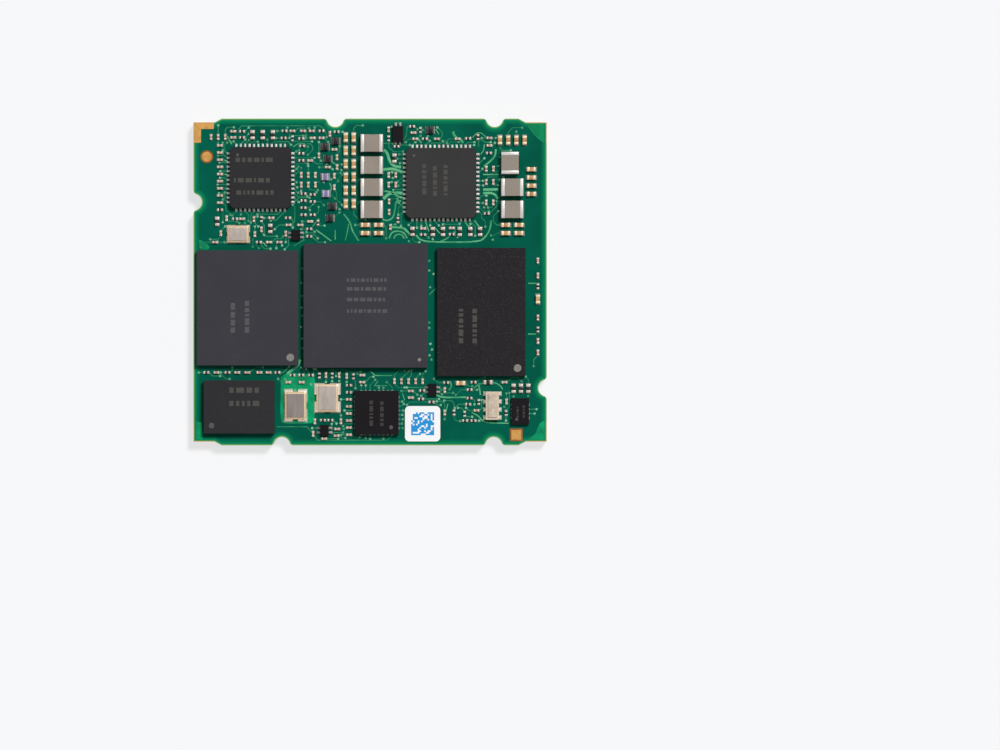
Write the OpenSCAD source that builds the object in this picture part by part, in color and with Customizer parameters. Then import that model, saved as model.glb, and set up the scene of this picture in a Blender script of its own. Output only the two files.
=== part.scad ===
// System on module: a small circuit board with its chips, clock parts, coils and chip parts.
// Lengths are in millimetres. X runs to the right and Y up the board as seen from its top side.
// Z is zero at the faces of the tallest parts under the board, which the module rests on.

/* [Board] */
// Thickness of the circuit board
board_t = 1.6; // [1.0:0.1:2.4]
// Step by which the upper and lower edges stand proud of the corners
edge_step = 0.42; // [0.2:0.02:0.6]
// Length of each corner that is set back
corner_run = 2.4; // [2.2:0.1:2.8]
// Length of the slope from a corner to the proud edge
corner_slope = 0.8; // [0.4:0.1:1.0]
// Radius of the half-round edge notches
notch_r = 0.95; // [0.6:0.05:1.2]
// Radius of the rounded mouth of a notch
notch_mouth_r = 0.5; // [0.2:0.05:0.6]
// Thickness of bare metal pads on the faces of the board
pad_t = 0.04; // [0.02:0.01:0.08]

/* [Corner plating] */
// Thickness of the metal plated on the corner edges
plating_t = 0.06; // [0.03:0.01:0.1]
// Width of the arm along the upper or lower edge
plating_arm_x = 0.75; // [0.5:0.05:1.0]
// Width of the arm along the side edge
plating_arm_y = 0.85; // [0.5:0.05:1.0]
// Length of both arms
plating_run = 2.3; // [1.6:0.1:2.4]
// Diameter of the round marks and width of the square marks
mark_w = 1.1; // [0.8:0.05:1.3]

/* [Carrier pads] */
// Pitch of the solder pads under the board
pad_pitch = 1.27; // [1.2:0.01:1.3]
// Diameter of a solder pad
pad_d = 0.62; // [0.4:0.02:0.8]
// Least distance from a pad centre to the edge of the board
pad_edge = 1.9; // [1.6:0.05:2.2]

/* [Ball grid chips] */
// Width of the processor
processor_w = 14; // [12:0.5:17]
// Length of the processor
processor_l = 14; // [12:0.5:17]
// Height of the processor's moulded cap
processor_h = 0.75; // [0.5:0.05:1.2]
// Width of the working memory
memory_w = 10; // [8:0.5:12]
// Length of the working memory
memory_l = 14.5; // [12:0.5:17]
// Height of the memory's moulded cap
memory_h = 0.55; // [0.4:0.05:1.0]
// Width of the storage chip
storage_w = 11.5; // [10:0.5:14]
// Length of the storage chip
storage_l = 13; // [11:0.5:16]
// Height of the storage chip's moulded cap
storage_h = 0.55; // [0.4:0.05:1.0]
// Width of the flash chip
flash_w = 8; // [6:0.5:10]
// Length of the flash chip
flash_l = 6; // [5:0.5:8]
// Height of the flash chip's moulded cap
flash_h = 0.65; // [0.4:0.05:1.0]
// Thickness of the laminate under a moulded cap
substrate_t = 0.22; // [0.15:0.01:0.4]
// Diameter of a solder ball
ball_d = 0.3; // [0.2:0.01:0.36]
// Height of a soldered ball
ball_h = 0.2; // [0.12:0.01:0.3]
// Pitch of the fine ball grids of the processor and the storage chip
fine_pitch = 0.5; // [0.45:0.01:0.6]
// Pitch of the memory's ball columns
memory_pitch_x = 0.8; // [0.7:0.05:0.9]
// Pitch of the memory's ball rows
memory_pitch_y = 0.65; // [0.6:0.05:0.8]
// Pitch of the flash chip's ball grid
flash_pitch = 1.0; // [0.8:0.05:1.2]

/* [Leadframe chips] */
// Width of the square network chip
network_w = 7; // [6:0.5:8]
// Width of the square power chip
power_w = 8; // [7:0.5:9]
// Width of the square interface chip
interface_w = 5; // [4:0.5:6]
// Width of the identity memory
identity_w = 2; // [1.6:0.1:2.6]
// Length of the identity memory
identity_l = 3; // [2.6:0.1:3.6]
// Height of the large leadframe chips
leadframe_h = 0.85; // [0.6:0.05:1.1]
// Corner chamfer of the large leadframe chips
chip_chamfer = 0.35; // [0.1:0.05:0.45]
// Height of the identity memory
identity_h = 0.6; // [0.45:0.05:0.9]
// Pitch of the leads
lead_pitch = 0.5; // [0.45:0.05:0.65]
// Width of a lead
lead_w = 0.25; // [0.18:0.01:0.3]
// Thickness of a lead
lead_t = 0.2; // [0.1:0.01:0.25]
// Length of a lead inside the body
lead_in = 0.4; // [0.25:0.05:0.5]
// Length of a lead's toe outside the body
lead_toe = 0.3; // [0.15:0.05:0.35]
// Height of the small logic chips on the top side
logic_h = 0.5; // [0.4:0.05:0.7]

/* [Clock parts] */
// Width of the clock module
clock_w = 1.5; // [1.3:0.1:1.8]
// Length of the clock module
clock_l = 3.2; // [2.8:0.1:3.6]
// Height of the clock module's ceramic base
clock_h = 0.6; // [0.4:0.05:0.9]
// Pitch of the clock module's pads
clock_pitch = 0.9; // [0.7:0.05:1.0]
// Short side of a crystal
crystal_w = 2.5; // [2.2:0.1:2.8]
// Long side of the two large crystals
crystal_l = 3.2; // [2.8:0.1:3.6]
// Short side of the small crystal
small_crystal_w = 2.0; // [1.8:0.1:2.2]
// Height of a crystal's ceramic base
crystal_h = 0.4; // [0.3:0.05:0.7]
// Thickness of a metal lid
lid_t = 0.15; // [0.08:0.01:0.25]
// Rim of ceramic left round a lid
lid_rim = 0.26; // [0.16:0.02:0.36]
// Reach of a crystal pad past the base
crystal_toe = 0.28; // [0.1:0.02:0.32]

/* [First corner dots] */
// Depth of the dot moulded into a chip at its first corner
dot_t = 0.03; // [0.01:0.005:0.05]
// Distance from a dot's centre to both edges of its chip
dot_inset = 0.9; // [0.7:0.05:1.1]
// Diameter of the dot in the memory and the storage chip
large_dot_d = 0.9; // [0.6:0.05:1.1]
// Diameter of the dot in the flash chip
medium_dot_d = 0.66; // [0.4:0.02:0.8]
// Diameter of the dot in the processor and the leadframe chips
small_dot_d = 0.4; // [0.2:0.02:0.6]

/* [Coils] */
// Length of a power inductor
inductor_l = 2.5; // [2.2:0.1:2.8]
// Width of a power inductor
inductor_w = 2.0; // [1.6:0.1:2.2]
// Height of a power inductor
inductor_h = 1.1; // [0.8:0.05:1.4]
// Length of an inductor's metal end
terminal_l = 0.42; // [0.25:0.01:0.6]
// Gap between inductors in a column
inductor_gap = 0.5; // [0.3:0.05:0.7]

/* [Chip parts] */
// Length of the larger chip parts
chip_l = 1.0; // [0.9:0.05:1.1]
// Width of the larger chip parts
chip_w = 0.5; // [0.4:0.05:0.6]
// Height of the larger capacitors
chip_h = 0.5; // [0.4:0.05:0.6]
// Height of the larger resistors
resistor_h = 0.34; // [0.25:0.01:0.4]
// Length of the small chip parts
small_l = 0.6; // [0.5:0.02:0.66]
// Width of the small chip parts
small_w = 0.3; // [0.24:0.01:0.34]
// Height of the small capacitors
small_h = 0.3; // [0.2:0.01:0.38]
// Height of the small resistors
small_resistor_h = 0.22; // [0.16:0.01:0.3]
// Width of the ferrite beads and the filter chips
bead_w = 0.8; // [0.6:0.05:0.9]
// Height of the ferrite beads and the filter chips
bead_h = 0.5; // [0.3:0.05:0.7]
// Share of a chip part's length that each metal end takes
end_share = 0.31; // [0.2:0.01:0.4]
// Depth by which a body lies inside the faces of its ends
body_inset = 0.02; // [0.01:0.005:0.03]

/* [Labels] */
// Width of a code label
label_w = 4.0; // [3.4:0.1:4.2]
// Corner radius of a code label
label_r = 0.5; // [0.2:0.05:0.8]
// Thickness of a code label
label_t = 0.08; // [0.04:0.01:0.12]

/* [Hidden] */
ball_fn = 16;
round_fn = 48;

// Corners of a chip as signs of x and y
lower_left = [-1, -1];
lower_right = [1, -1];
upper_left = [-1, 1];

// Details that no other size depends on
land_t = 0.08;
clock_pad_w = 0.5;
castellation_r = 0.2;
crystal_pad_share = 0.38;
crystal_pad_lip = 0.1;
small_crystal_lip = 0.05;
paddle_share = 0.6;
corner_free = 0.7;
small_free = 0.25;

// Strips of bare board that the floor plan keeps, from left to right
storage_left = 0.4;
storage_right = 0.6;
memory_left = 1.1;
memory_right = 2.4;
network_left = 4.1;
network_right = 5.9;
array_gap = 0.4;
array_right = 0.55;
power_left = 2.6;
power_right = 2.8;
coil_right = 2.65;
flash_left = 1.2;
flash_right = 1.1;
crystal_gap = 1.1;
interface_left = 1.85;
label_left = 0.7;
clock_left = 5.15;
identity_left = 1.4;
identity_right = 2.0;

// Strips of bare board that the floor plan keeps, from top to bottom
network_above = 3.2;
network_below = 4.0;
power_above = 3.3;
power_below = 2.9;
coil_above = 1.8;
coil_below = 2.9;
storage_above = 0.75;
storage_below = 1.25;
processor_below = 1.0;
memory_above = 0.45;
memory_below = 0.05;
flash_above = 0.45;
flash_below = 1.35;
interface_above = 1.6;
interface_below = 1.2;
label_below = 0.45;

// Heights of the lower row's small packages above the lower edge
crystal_a_up = 4.5;
crystal_b_up = 5.35;
identity_up = 3.85;
clock_up = 4.5;

// Steps from the network chip's lower left corner to the small crystal
small_crystal_in = 0.95;
small_crystal_down = 2.9;

// Spacing and rows of the larger capacitors round the coils
chip_gap = 0.43;
chip_end_gap = 0.5;
array_above = 2.15;
coil_row_above = 2.45;
coil_row_below = 0.75;
coil_side_gap = 0.4;
coil_side_above = 5.75;
coil_shift = 0.25;

// Distances of the edge notches and the alignment marks from the edges of the board
upper_notch_left = 16.05;
upper_notch_right = 5.9;
lower_notch_left = 10.0;
lower_notch_right = 6.0;
left_notch_above = 9.45;
right_notch_below = 6.5;
round_mark = [1.5, 4.3];
square_mark = [3.45, 1.2];
under_square_mark = [5.0, 5.4];
under_round_mark = [5.0, 5.7];

// The board takes the widest of its three rows and the tallest stack in each row
coil_stack = 4 * inductor_w + 3 * inductor_gap;
top_row_w = network_left + network_w + network_right + 2 * chip_w + array_gap + array_right
  + inductor_l + power_left + power_w + power_right + inductor_l + coil_right;
mid_row_w = storage_left + storage_w + storage_right + processor_w + memory_left + memory_w
  + memory_right;
low_row_w = flash_left + flash_w + flash_right + crystal_w + crystal_gap + crystal_w
  + interface_left + interface_w + label_left + label_w + clock_left + clock_w + identity_left
  + identity_w + identity_right;
top_row_l = max(network_above + network_w + network_below, power_above + power_w + power_below,
  coil_above + coil_stack + coil_below);
mid_row_l = max(storage_above + storage_l + storage_below, processor_l + processor_below,
  memory_above + memory_l + memory_below);
low_row_l = max(flash_above + flash_l + flash_below,
  interface_above + interface_w + interface_below);
board_w = max(top_row_w, mid_row_w, low_row_w);
board_l = top_row_l + mid_row_l + low_row_l;

// Faces and edges of the board
z_under = chip_h;
z_top = z_under + board_t;
left = -board_w / 2;
right = board_w / 2;
top = board_l / 2;
bottom = -board_l / 2;
mid_row_y = bottom + low_row_l;

// Centres of the chips in the middle row
storage_at = [left + storage_left + storage_w / 2, mid_row_y + storage_below + storage_l / 2];
processor_at = [storage_at[0] + storage_w / 2 + storage_right + processor_w / 2,
  mid_row_y + processor_below + processor_l / 2];
memory_at = [processor_at[0] + processor_w / 2 + memory_left + memory_w / 2,
  mid_row_y + memory_below + memory_l / 2];

// Centres in the top row: the network chip keeps to the left, the rest to the right
network_at = [left + network_left + network_w / 2, top - network_above - network_w / 2];
coil_b_x = right - coil_right - inductor_l / 2;
power_at = [coil_b_x - inductor_l / 2 - power_right - power_w / 2,
  top - power_above - power_w / 2];
coil_a_x = power_at[0] - power_w / 2 - power_left - inductor_l / 2;
array_x = coil_a_x - inductor_l / 2 - array_right - chip_w - array_gap / 2;

// Centres in the bottom row: flash and crystals keep to the left, the rest to the right
flash_at = [left + flash_left + flash_w / 2, bottom + flash_below + flash_l / 2];
crystal_a_at = [flash_at[0] + flash_w / 2 + flash_right + crystal_w / 2, bottom + crystal_a_up];
crystal_b_at = [crystal_a_at[0] + crystal_w + crystal_gap, bottom + crystal_b_up];
identity_at = [right - identity_right - identity_w / 2, bottom + identity_up];
clock_at = [identity_at[0] - identity_w / 2 - identity_left - clock_w / 2, bottom + clock_up];
label_at = [clock_at[0] - clock_w / 2 - clock_left - label_w / 2,
  bottom + label_below + label_w / 2];
interface_at = [label_at[0] - label_w / 2 - label_left - interface_w / 2,
  bottom + interface_below + interface_w / 2];
small_crystal_at = network_at
  + [small_crystal_in - network_w / 2, -small_crystal_down - network_w / 2];

// Corners that the small parts are placed from
network_nw = network_at + [-network_w / 2, network_w / 2];
network_sw = network_at + [-network_w / 2, -network_w / 2];
network_top_e = [network_at[0] + network_w / 2, top];
power_top_w = [power_at[0] - power_w / 2, top];
power_top_e = [power_at[0] + power_w / 2, top];
power_sw = power_at + [-power_w / 2, -power_w / 2];
memory_ne = memory_at + [memory_w / 2, memory_l / 2];
flash_nw = flash_at + [-flash_w / 2, flash_l / 2];
interface_nw = interface_at + [-interface_w / 2, interface_w / 2];
coil_base = top - coil_above - coil_stack;

// A placed part is its x, its y and 1 if it stands along Y; lists give steps right and down
function from(corner, steps) = [for (s = steps) [corner[0] + s[0], corner[1] - s[1], s[2]]];
function column(corner, n, pitch, turn) = [
  for (i = [0:n - 1]) [corner[0], corner[1] - i * pitch, turn]
];
function row(corner, n, pitch, turn) = [
  for (i = [0:n - 1]) [corner[0] + i * pitch, corner[1], turn]
];
function grid(corner, nx, ny, px, py, turn) = [
  for (i = [0:nx - 1], j = [0:ny - 1]) [corner[0] + i * px, corner[1] - j * py, turn]
];

// Power inductors: four in the left column, two in the right one and one that stands
inductors = concat(
  column([coil_a_x, top - coil_above - inductor_w / 2], 4, inductor_w + inductor_gap, 0),
  column([coil_b_x, coil_base + inductor_w / 2 + inductor_w + inductor_gap], 2,
    inductor_w + inductor_gap, 0),
  [[coil_b_x - coil_shift, coil_base + 2 * (inductor_w + inductor_gap) + inductor_l / 2, 1]]);

// Larger capacitors on the top side
chip_row = chip_w + chip_gap;
chip_column = chip_l + chip_end_gap;
capacitors = concat(
  grid([array_x - (chip_w + array_gap) / 2, top - array_above], 2, 6,
    chip_w + array_gap, chip_column, 1),
  grid([coil_a_x - chip_column / 2, coil_base - coil_row_below], 2, 2, chip_column, chip_row, 0),
  grid([coil_b_x - chip_column / 2, coil_base - coil_row_below], 2, 2, chip_column, chip_row, 0),
  row([coil_b_x - 1.5 * chip_row, top - coil_row_above], 4, chip_row, 1),
  column([coil_b_x + inductor_l / 2 + coil_side_gap + chip_l / 2, top - coil_side_above], 4,
    chip_row, 0),
  [[clock_at[0] - 3.6, clock_at[1] + 2.55, 0]],
  from(memory_ne, [[1.4, 5.8, 1]]));

// Larger resistors on the top side
resistors = concat(
  row(network_nw + [2.6, 1.35], 3, 1.15, 1),
  from(network_sw, [[-1.4, 1.45, 1], [4.6, 2.25, 1]]),
  from(power_top_w, [[-1.3, 4.5, 1]]),
  from(power_sw, [[0.75, 1.5, 1], [3.05, 1.5, 1], [4.2, 1.5, 1]]),
  from(power_sw, [[6.1, 1.5, 1], [7.3, 1.5, 1], [8.4, 1.5, 1]]),
  [[clock_at[0] - 0.5, clock_at[1] + 2.65, 0]],
  row(identity_at + [-0.75, 2.6], 3, 0.83, 1));

// Small capacitors on the top side
small_capacitors = concat(
  column(network_nw + [-1.1, 0.15], 9, 0.81, 0),
  row(network_nw + [-2.1, 1.1], 3, 0.8, 1),
  column(network_nw + [0.4, 1.75], 2, 0.7, 0),
  from(network_top_e, [[0.1, 1.4, 0], [1.3, 1.4, 0], [2.3, 1.4, 0], [2.4, 2.2, 0], [3.4, 2.2, 0]]),
  from(network_top_e, [[4.35, 1.75, 1], [2.1, 4.75, 0], [3.1, 4.2, 1], [4.85, 3.5, 0], [4.1, 5.5, 0]]),
  grid(network_top_e + [1.1, -6.4], 3, 2, 0.8, 1.1, 1),
  from(network_top_e, [[4.85, 6.5, 1], [4.85, 7.8, 1], [5.15, 4.4, 1], [5.15, 5.5, 1]]),
  from(network_top_e, [[2.1, 11.65, 0], [1.0, 12.05, 0], [-0.35, 12.05, 0], [-0.65, 13.05, 1]]),
  from(network_sw, [[-0.35, 1.1, 1], [1.4, 1.15, 0], [2.75, 1.2, 1], [3.6, 2.35, 1], [4.7, 1.05, 0]]),
  from(network_sw, [[-1.0, 2.8, 1], [2.85, 2.9, 1], [-1.65, 3.8, 0], [4.45, 3.8, 0], [5.6, 3.8, 0]]),
  from(power_top_w, [[-1.95, 1.25, 1], [0.85, 1.6, 0], [1.05, 2.3, 0], [3.5, 2.3, 0], [5.85, 2.3, 0]]),
  grid(power_top_w + [-1.95, -6.4], 2, 2, 0.8, 1.1, 1),
  from(power_top_w, [[-1.9, 9.4, 1], [-1.9, 10.6, 1], [-1.75, 12.3, 1]]),
  from(power_top_e, [[1.45, 2.2, 0], [1.45, 3.05, 0]]),
  grid(power_top_e + [1.1, -5.7], 2, 2, 0.8, 1.5, 1),
  row(power_top_e + [1.1, -9.5], 2, 0.8, 1),
  from(power_sw, [[1.95, 1.15, 0], [5.2, 1.1, 0]]),
  from(memory_ne, [[1.4, 1.45, 1], [1.4, 3.15, 1], [1.4, 7.9, 1], [1.4, 10.55, 1], [1.4, 11.85, 1]]),
  from(flash_nw, [[1.4, -0.9, 0], [3.75, -0.9, 0], [4.9, -0.9, 0], [6.25, -0.9, 0], [7.3, -0.9, 0]]),
  from(crystal_a_at, [[-0.85, -2.65, 0], [0.7, -2.65, 0]]),
  from(crystal_b_at, [[-0.15, -2.6, 1], [1.35, -2.6, 1], [2.2, -2.5, 1], [-1.4, 2.65, 1]]),
  from(crystal_b_at, [[1.55, 2.65, 1], [-1.6, 4.05, 1], [-0.35, 4.6, 0], [1.1, 3.5, 0], [1.05, 4.25, 0]]),
  column(interface_nw + [-0.65, -1.0], 6, 0.8, 0),
  column(interface_nw + [0.85, 1.75], 2, 0.8, 0),
  row(interface_nw + [4.5, 1.05], 5, 0.8, 1),
  column(interface_nw + [6.35, -0.05], 2, 0.75, 0),
  from(clock_at, [[-5.4, -1.75, 1], [-5.4, 0.8, 1], [1.35, -2.65, 0], [-1.8, 0.55, 0], [1.6, -0.45, 1]]));

// Small resistors on the top side
small_resistors = concat(
  [[network_nw[0] - 1.1, network_nw[1] - 7.15, 0]],
  column(network_nw + [1.4, 1.75], 2, 0.7, 0),
  from(network_top_e, [[-0.8, 1.4, 0], [3.4, 1.4, 0], [-0.9, 2.2, 0], [0.1, 2.25, 1], [1.1, 2.25, 0]]),
  from(network_top_e, [[5.1, 1.5, 0], [1.2, 3.1, 0], [1.1, 3.95, 0], [1.1, 4.75, 0]]),
  column(network_top_e + [1.35, -8.5], 4, 0.8, 0),
  from(network_top_e, [[2.4, 8.6, 0], [2.4, 9.4, 0], [2.4, 10.9, 0], [3.0, 11.8, 1]]),
  from(network_top_e, [[2.0, 12.5, 0], [2.0, 13.35, 0], [-0.4, 11.25, 0]]),
  from(network_sw, [[0.6, 1.15, 0], [3.6, 1.2, 1], [3.3, 3.8, 0]]),
  from(power_top_w, [[-1.95, 2.25, 1], [-1.05, 3.15, 0], [0.7, 0.9, 0], [1.65, 1.3, 1], [2.15, 2.3, 0]]),
  from(power_top_w, [[7.05, 2.25, 0], [-0.9, 11.5, 1]]),
  from(power_top_e, [[0.15, 2.1, 1], [1.4, 3.9, 0], [1.15, 10.75, 0]]),
  from(power_sw, [[1.95, 1.85, 0], [5.2, 1.8, 0]]),
  from(memory_ne, [[1.4, 4.35, 1], [1.4, 9.25, 1]]),
  from(flash_nw, [[0.25, -0.9, 0], [2.65, -0.9, 0], [8.3, -0.9, 0]]),
  from(crystal_a_at, [[-0.35, -3.45, 0], [0.65, -3.45, 0]]),
  from(crystal_b_at, [[-1.85, -2.6, 0], [-0.9, -2.55, 1], [0.55, -2.55, 1], [2.95, -2.45, 1]]),
  from(crystal_b_at, [[-0.5, 2.5, 0], [0.35, 2.5, 0]]),
  from(interface_nw, [[-0.65, -0.6, 0], [-0.65, 0.2, 0], [7.65, 0.0, 0], [7.5, 0.95, 0], [8.7, 1.3, 0]]),
  from(clock_at, [[-5.25, -2.6, 0], [-4.35, 0.8, 1], [-2.15, -2.65, 0], [-2.6, -1.8, 0], [-2.6, -0.85, 0]]),
  from(clock_at, [[-2.75, -0.15, 0], [-1.55, -0.4, 1], [-3.15, 0.95, 1], [-3.1, 1.7, 0], [-2.15, 1.7, 0]]),
  from(clock_at, [[1.55, 0.85, 1]]));

// Ferrite beads and filter chips
beads = concat(
  from(network_top_e, [[5.0, 2.55, 0], [3.8, 3.2, 0], [4.1, 4.55, 0], [4.6, 9.9, 0], [4.35, 11.25, 0]]),
  from(power_top_w, [[2.75, 1.3, 0]]));
filters = from(network_top_e, [[3.8, 6.6, 0], [3.9, 8.5, 0]]);

// Small logic chips: x, y, turn, width and length, with the leads on the long sides
logic_top = [
  [network_top_e[0] + 0.5, network_top_e[1] - 13.2, 0, 1.0, 1.2],
  [power_top_w[0] - 0.9, power_top_w[1] - 1.75, 1, 1.8, 1.2],
  [crystal_b_at[0] - 0.3, crystal_b_at[1] - 3.65, 0, 0.95, 1.25],
  [interface_nw[0] + 8.8, interface_nw[1] + 0.1, 0, 0.95, 1.4]
];
logic_under = [
  [-6.85, 0.6, 1, 1.0, 1.0],
  [-6.55, -3.2, 0, 1.1, 1.65]
];

// Parts under the board, placed from its centre
under_capacitors = concat(
  row([-1.6, -1.9], 5, chip_w + 0.4, 1),
  [[-1.4, 1.15, 1], [-2.6, 1.65, 0], [-4.4, -1.35, 0], [-5.55, -0.25, 1], [-2.85, -2.25, 0]],
  [[-5.05, -4.8, 1], [-2.95, -6.05, 1], [-1.9, -6.55, 1], [2.25, 1.25, 1], [3.45, 0.85, 0]],
  [[3.15, 0.05, 0], [1.65, 0.0, 0], [4.05, -2.7, 0], [4.25, -4.35, 0], [3.1, -5.25, 1]],
  [[0.55, -6.45, 1]]);
under_small_capacitors = concat(
  grid([-8.15, 6.75], 5, 4, 1.6, 1.1, 1),
  grid([-0.2, -4.0], 4, 2, 0.77, 1.05, 1),
  grid([-3.5, -3.0], 2, 2, 1.1, 0.8, 0),
  row([-0.1, -3.1], 3, 1.05, 0),
  row([2.9, -1.7], 3, 0.78, 1),
  column([-0.4, 0.75], 3, 0.8, 0),
  column([-1.5, -0.05], 2, 0.75, 0),
  column([0.55, 1.75], 3, 1.05, 1),
  column([1.35, 2.4], 2, 1.1, 1),
  column([2.9, -2.8], 2, 1.0, 1),
  column([-6.9, -0.7], 2, 0.8, 0),
  [[-2.6, -0.25, 0], [-3.75, -0.25, 0], [-2.45, 0.7, 1], [-3.15, 0.7, 1], [-4.0, 0.75, 1]],
  [[-4.75, -0.35, 1], [-2.45, -1.1, 1], [-3.25, -1.1, 1], [-5.15, 2.15, 0], [-6.25, 2.0, 0]],
  [[-6.5, 2.65, 1], [-1.25, -3.0, 0], [-4.4, -3.45, 1], [-5.45, -3.45, 1], [-5.3, -2.6, 0]],
  [[-3.45, -4.75, 1], [-4.2, -4.75, 1], [-2.4, -4.6, 0], [-1.3, -4.6, 0], [-1.1, -5.5, 1]],
  [[-2.0, -5.35, 0], [-1.1, -6.6, 1], [-8.0, -2.0, 1], [-6.85, -5.35, 0], [-6.6, -6.1, 0]],
  [[-5.9, -6.7, 1], [2.55, -0.8, 0], [1.4, -0.8, 0], [3.85, -3.5, 0], [-0.2, -6.2, 1]],
  [[1.35, -6.2, 1], [2.1, -6.2, 1], [3.05, -6.6, 1], [5.4, -0.8, 0], [6.25, -3.0, 1]],
  [[5.6, -4.15, 0], [8.2, -4.85, 1], [7.5, -4.85, 1], [8.25, -6.0, 1]]);
under_resistors = concat(
  grid([-7.35, 6.75], 5, 4, 1.6, 1.1, 1),
  column([8.3, -2.5], 2, 1.2, 1),
  column([-8.1, 0.9], 2, 1.3, 1),
  column([-8.0, -3.4], 3, 1.0, 1),
  [[-5.55, 1.15, 0], [-5.5, -1.55, 1], [-1.25, -3.8, 0], [6.1, -2.0, 0], [5.6, -2.9, 1]],
  [[6.2, -6.8, 0], [4.1, -6.1, 0], [4.1, -6.9, 0], [-6.0, -4.55, 0], [-7.1, -4.55, 0]]);
under_label_at = [1.65, 5.2];

// Solder pads lie on a grid of half the pitch, in rings counted from the edge of the board
half = pad_pitch / 2;
pad_nx = floor((board_w / 2 - pad_edge) / half);
pad_ny = floor((board_l / 2 - pad_edge) / half);
function odds(n) = [for (i = [1:2:n]) each [-i, i]];
function fours(n) = [for (i = [-floor(n / 4):floor(n / 4)]) 4 * i];
function pad_rows(y, xs) = [for (s = [-1, 1], x = xs) [x, s * y]];
function pad_columns(x, ys) = [for (s = [-1, 1], y = ys) [s * x, y]];
carrier_grid = concat(
  pad_rows(pad_ny, odds(pad_nx - 3)),
  pad_rows(pad_ny - 2, fours(pad_nx - 8)),
  pad_columns(pad_nx, odds(pad_ny - 1)),
  pad_columns(pad_nx - 2, fours(pad_ny - 2)),
  pad_rows(pad_ny - 3, [5 - pad_nx, pad_nx - 5]),
  pad_rows(pad_ny - 8, odds(pad_nx - 7)),
  pad_rows(pad_ny - 10, fours(pad_nx - 8)),
  pad_columns(pad_nx - 7, odds(pad_ny - 13)),
  pad_columns(pad_nx - 9, fours(pad_ny - 14)),
  pad_rows(pad_ny - 13, odds(pad_nx - 13)),
  pad_columns(pad_nx - 12, odds(pad_ny - 17)),
  pad_columns(pad_nx - 12, [15 - pad_ny]));

// Half-round edge notches: place on the edge and direction out of the board
notches = [
  [[left + upper_notch_left, top], 0], [[right - upper_notch_right, top], 0],
  [[left + lower_notch_left, bottom], 180], [[right - lower_notch_right, bottom], 180],
  [[left, top - left_notch_above], 90], [[right, bottom + right_notch_below], -90]
];

// Solids shared by several pieces
module on_top(places) {
  for (p = places)
    translate([p[0], p[1], z_top])
      rotate(90 * p[2])
        children();
}

module on_under(places) {
  for (p = places)
    translate([p[0], p[1], z_under])
      mirror([0, 0, 1])
        rotate(90 * p[2])
          children();
}

module block(w, l, h) {
  translate([-w / 2, -l / 2, 0])
    cube([w, l, h]);
}

module chip_body(l, w, h) {
  translate([0, 0, body_inset])
    block(l * (1 - 2 * end_share), w - 2 * body_inset, h - 2 * body_inset);
}

module chip_ends(l, w, h) {
  for (s = [-1, 1])
    translate([s * l * (1 - end_share) / 2, 0, 0])
      block(l * end_share, w, h);
}

module rounded_plate(w, l, r, t) {
  linear_extrude(t)
    union() {
      square([w - 2 * r, l], center = true);
      square([w, l - 2 * r], center = true);
      for (x = [-1, 1], y = [-1, 1])
        translate([x * (w / 2 - r), y * (l / 2 - r)])
          circle(r = r, $fn = round_fn);
    }
}

// A shallow round dot in the top of a chip, in the corner that the signs of x and y name
module first_corner(w, l, h, corner, d) {
  translate([corner[0] * (w / 2 - dot_inset), corner[1] * (l / 2 - dot_inset), h - dot_t])
    cylinder(d = d, h = 2 * dot_t, $fn = round_fn);
}

// A ball grid package: balls on the board, laminate on the balls, moulded cap on the laminate
module substrate(at, w, l) {
  translate([at[0], at[1], z_top + ball_h])
    block(w, l, substrate_t);
}

module moulded_cap(at, w, l, h, corner, d) {
  translate([at[0], at[1], z_top + ball_h + substrate_t])
    difference() {
      block(w, l, h);
      first_corner(w, l, h, corner, d);
    }
}

module balls(at, places) {
  for (p = places)
    translate([at[0] + p[0], at[1] + p[1], z_top])
      cylinder(d = ball_d, h = ball_h, $fn = ball_fn);
}

// Ball centres in an nx by ny grid, with the rings that hold balls counted from the outside
function ball_rings(nx, ny, px, py, rings) = [
  for (i = [0:nx - 1], j = [0:ny - 1])
    if (len(search(min(i, j, nx - 1 - i, ny - 1 - j), rings)) > 0)
      [(i - (nx - 1) / 2) * px, (j - (ny - 1) / 2) * py]
];
function ball_count(w, pitch) = floor((w - 2 * ball_d) / pitch) + 1;

processor_n = ball_count(processor_w, fine_pitch);
processor_m = ball_count(processor_l, fine_pitch);
processor_rings = concat([0, 1, 2, 3, 4], [for (i = [10:20]) i]);
storage_n = 14;
storage_rings = [0, 1, 2, 4];
memory_n = ball_count(memory_w, memory_pitch_x);
memory_m = ball_count(memory_l, memory_pitch_y);
memory_free = 1.5 * memory_pitch_x;
flash_n = 5;

// Leads on two or four sides of a body, toes outwards: x, y and turn of each lead's inner end
function lead_line(l, free) =
  let (n = floor((l - 2 * free) / lead_pitch) + 1)
    [for (i = [0:n - 1]) (i - (n - 1) / 2) * lead_pitch];
function side_leads(w, l, free) = [
  for (s = [0, 2], y = lead_line(l, free)) [(1 - s) * (w / 2 - lead_in), (1 - s) * y, s]
];
function end_leads(w, l, free) = [
  for (s = [1, 3], x = lead_line(w, free)) [(2 - s) * x, (2 - s) * (l / 2 - lead_in), s]
];

module leads(places, toe) {
  for (p = places)
    translate([p[0], p[1], 0])
      rotate(90 * p[2])
        translate([0, -lead_w / 2, 0])
          cube([lead_in + toe, lead_w, lead_t]);
}

module square_leadframe(w, toe) {
  leads(concat(side_leads(w, w, corner_free), end_leads(w, w, corner_free)), toe);
  block(paddle_share * w, paddle_share * w, lead_t);
}

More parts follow.
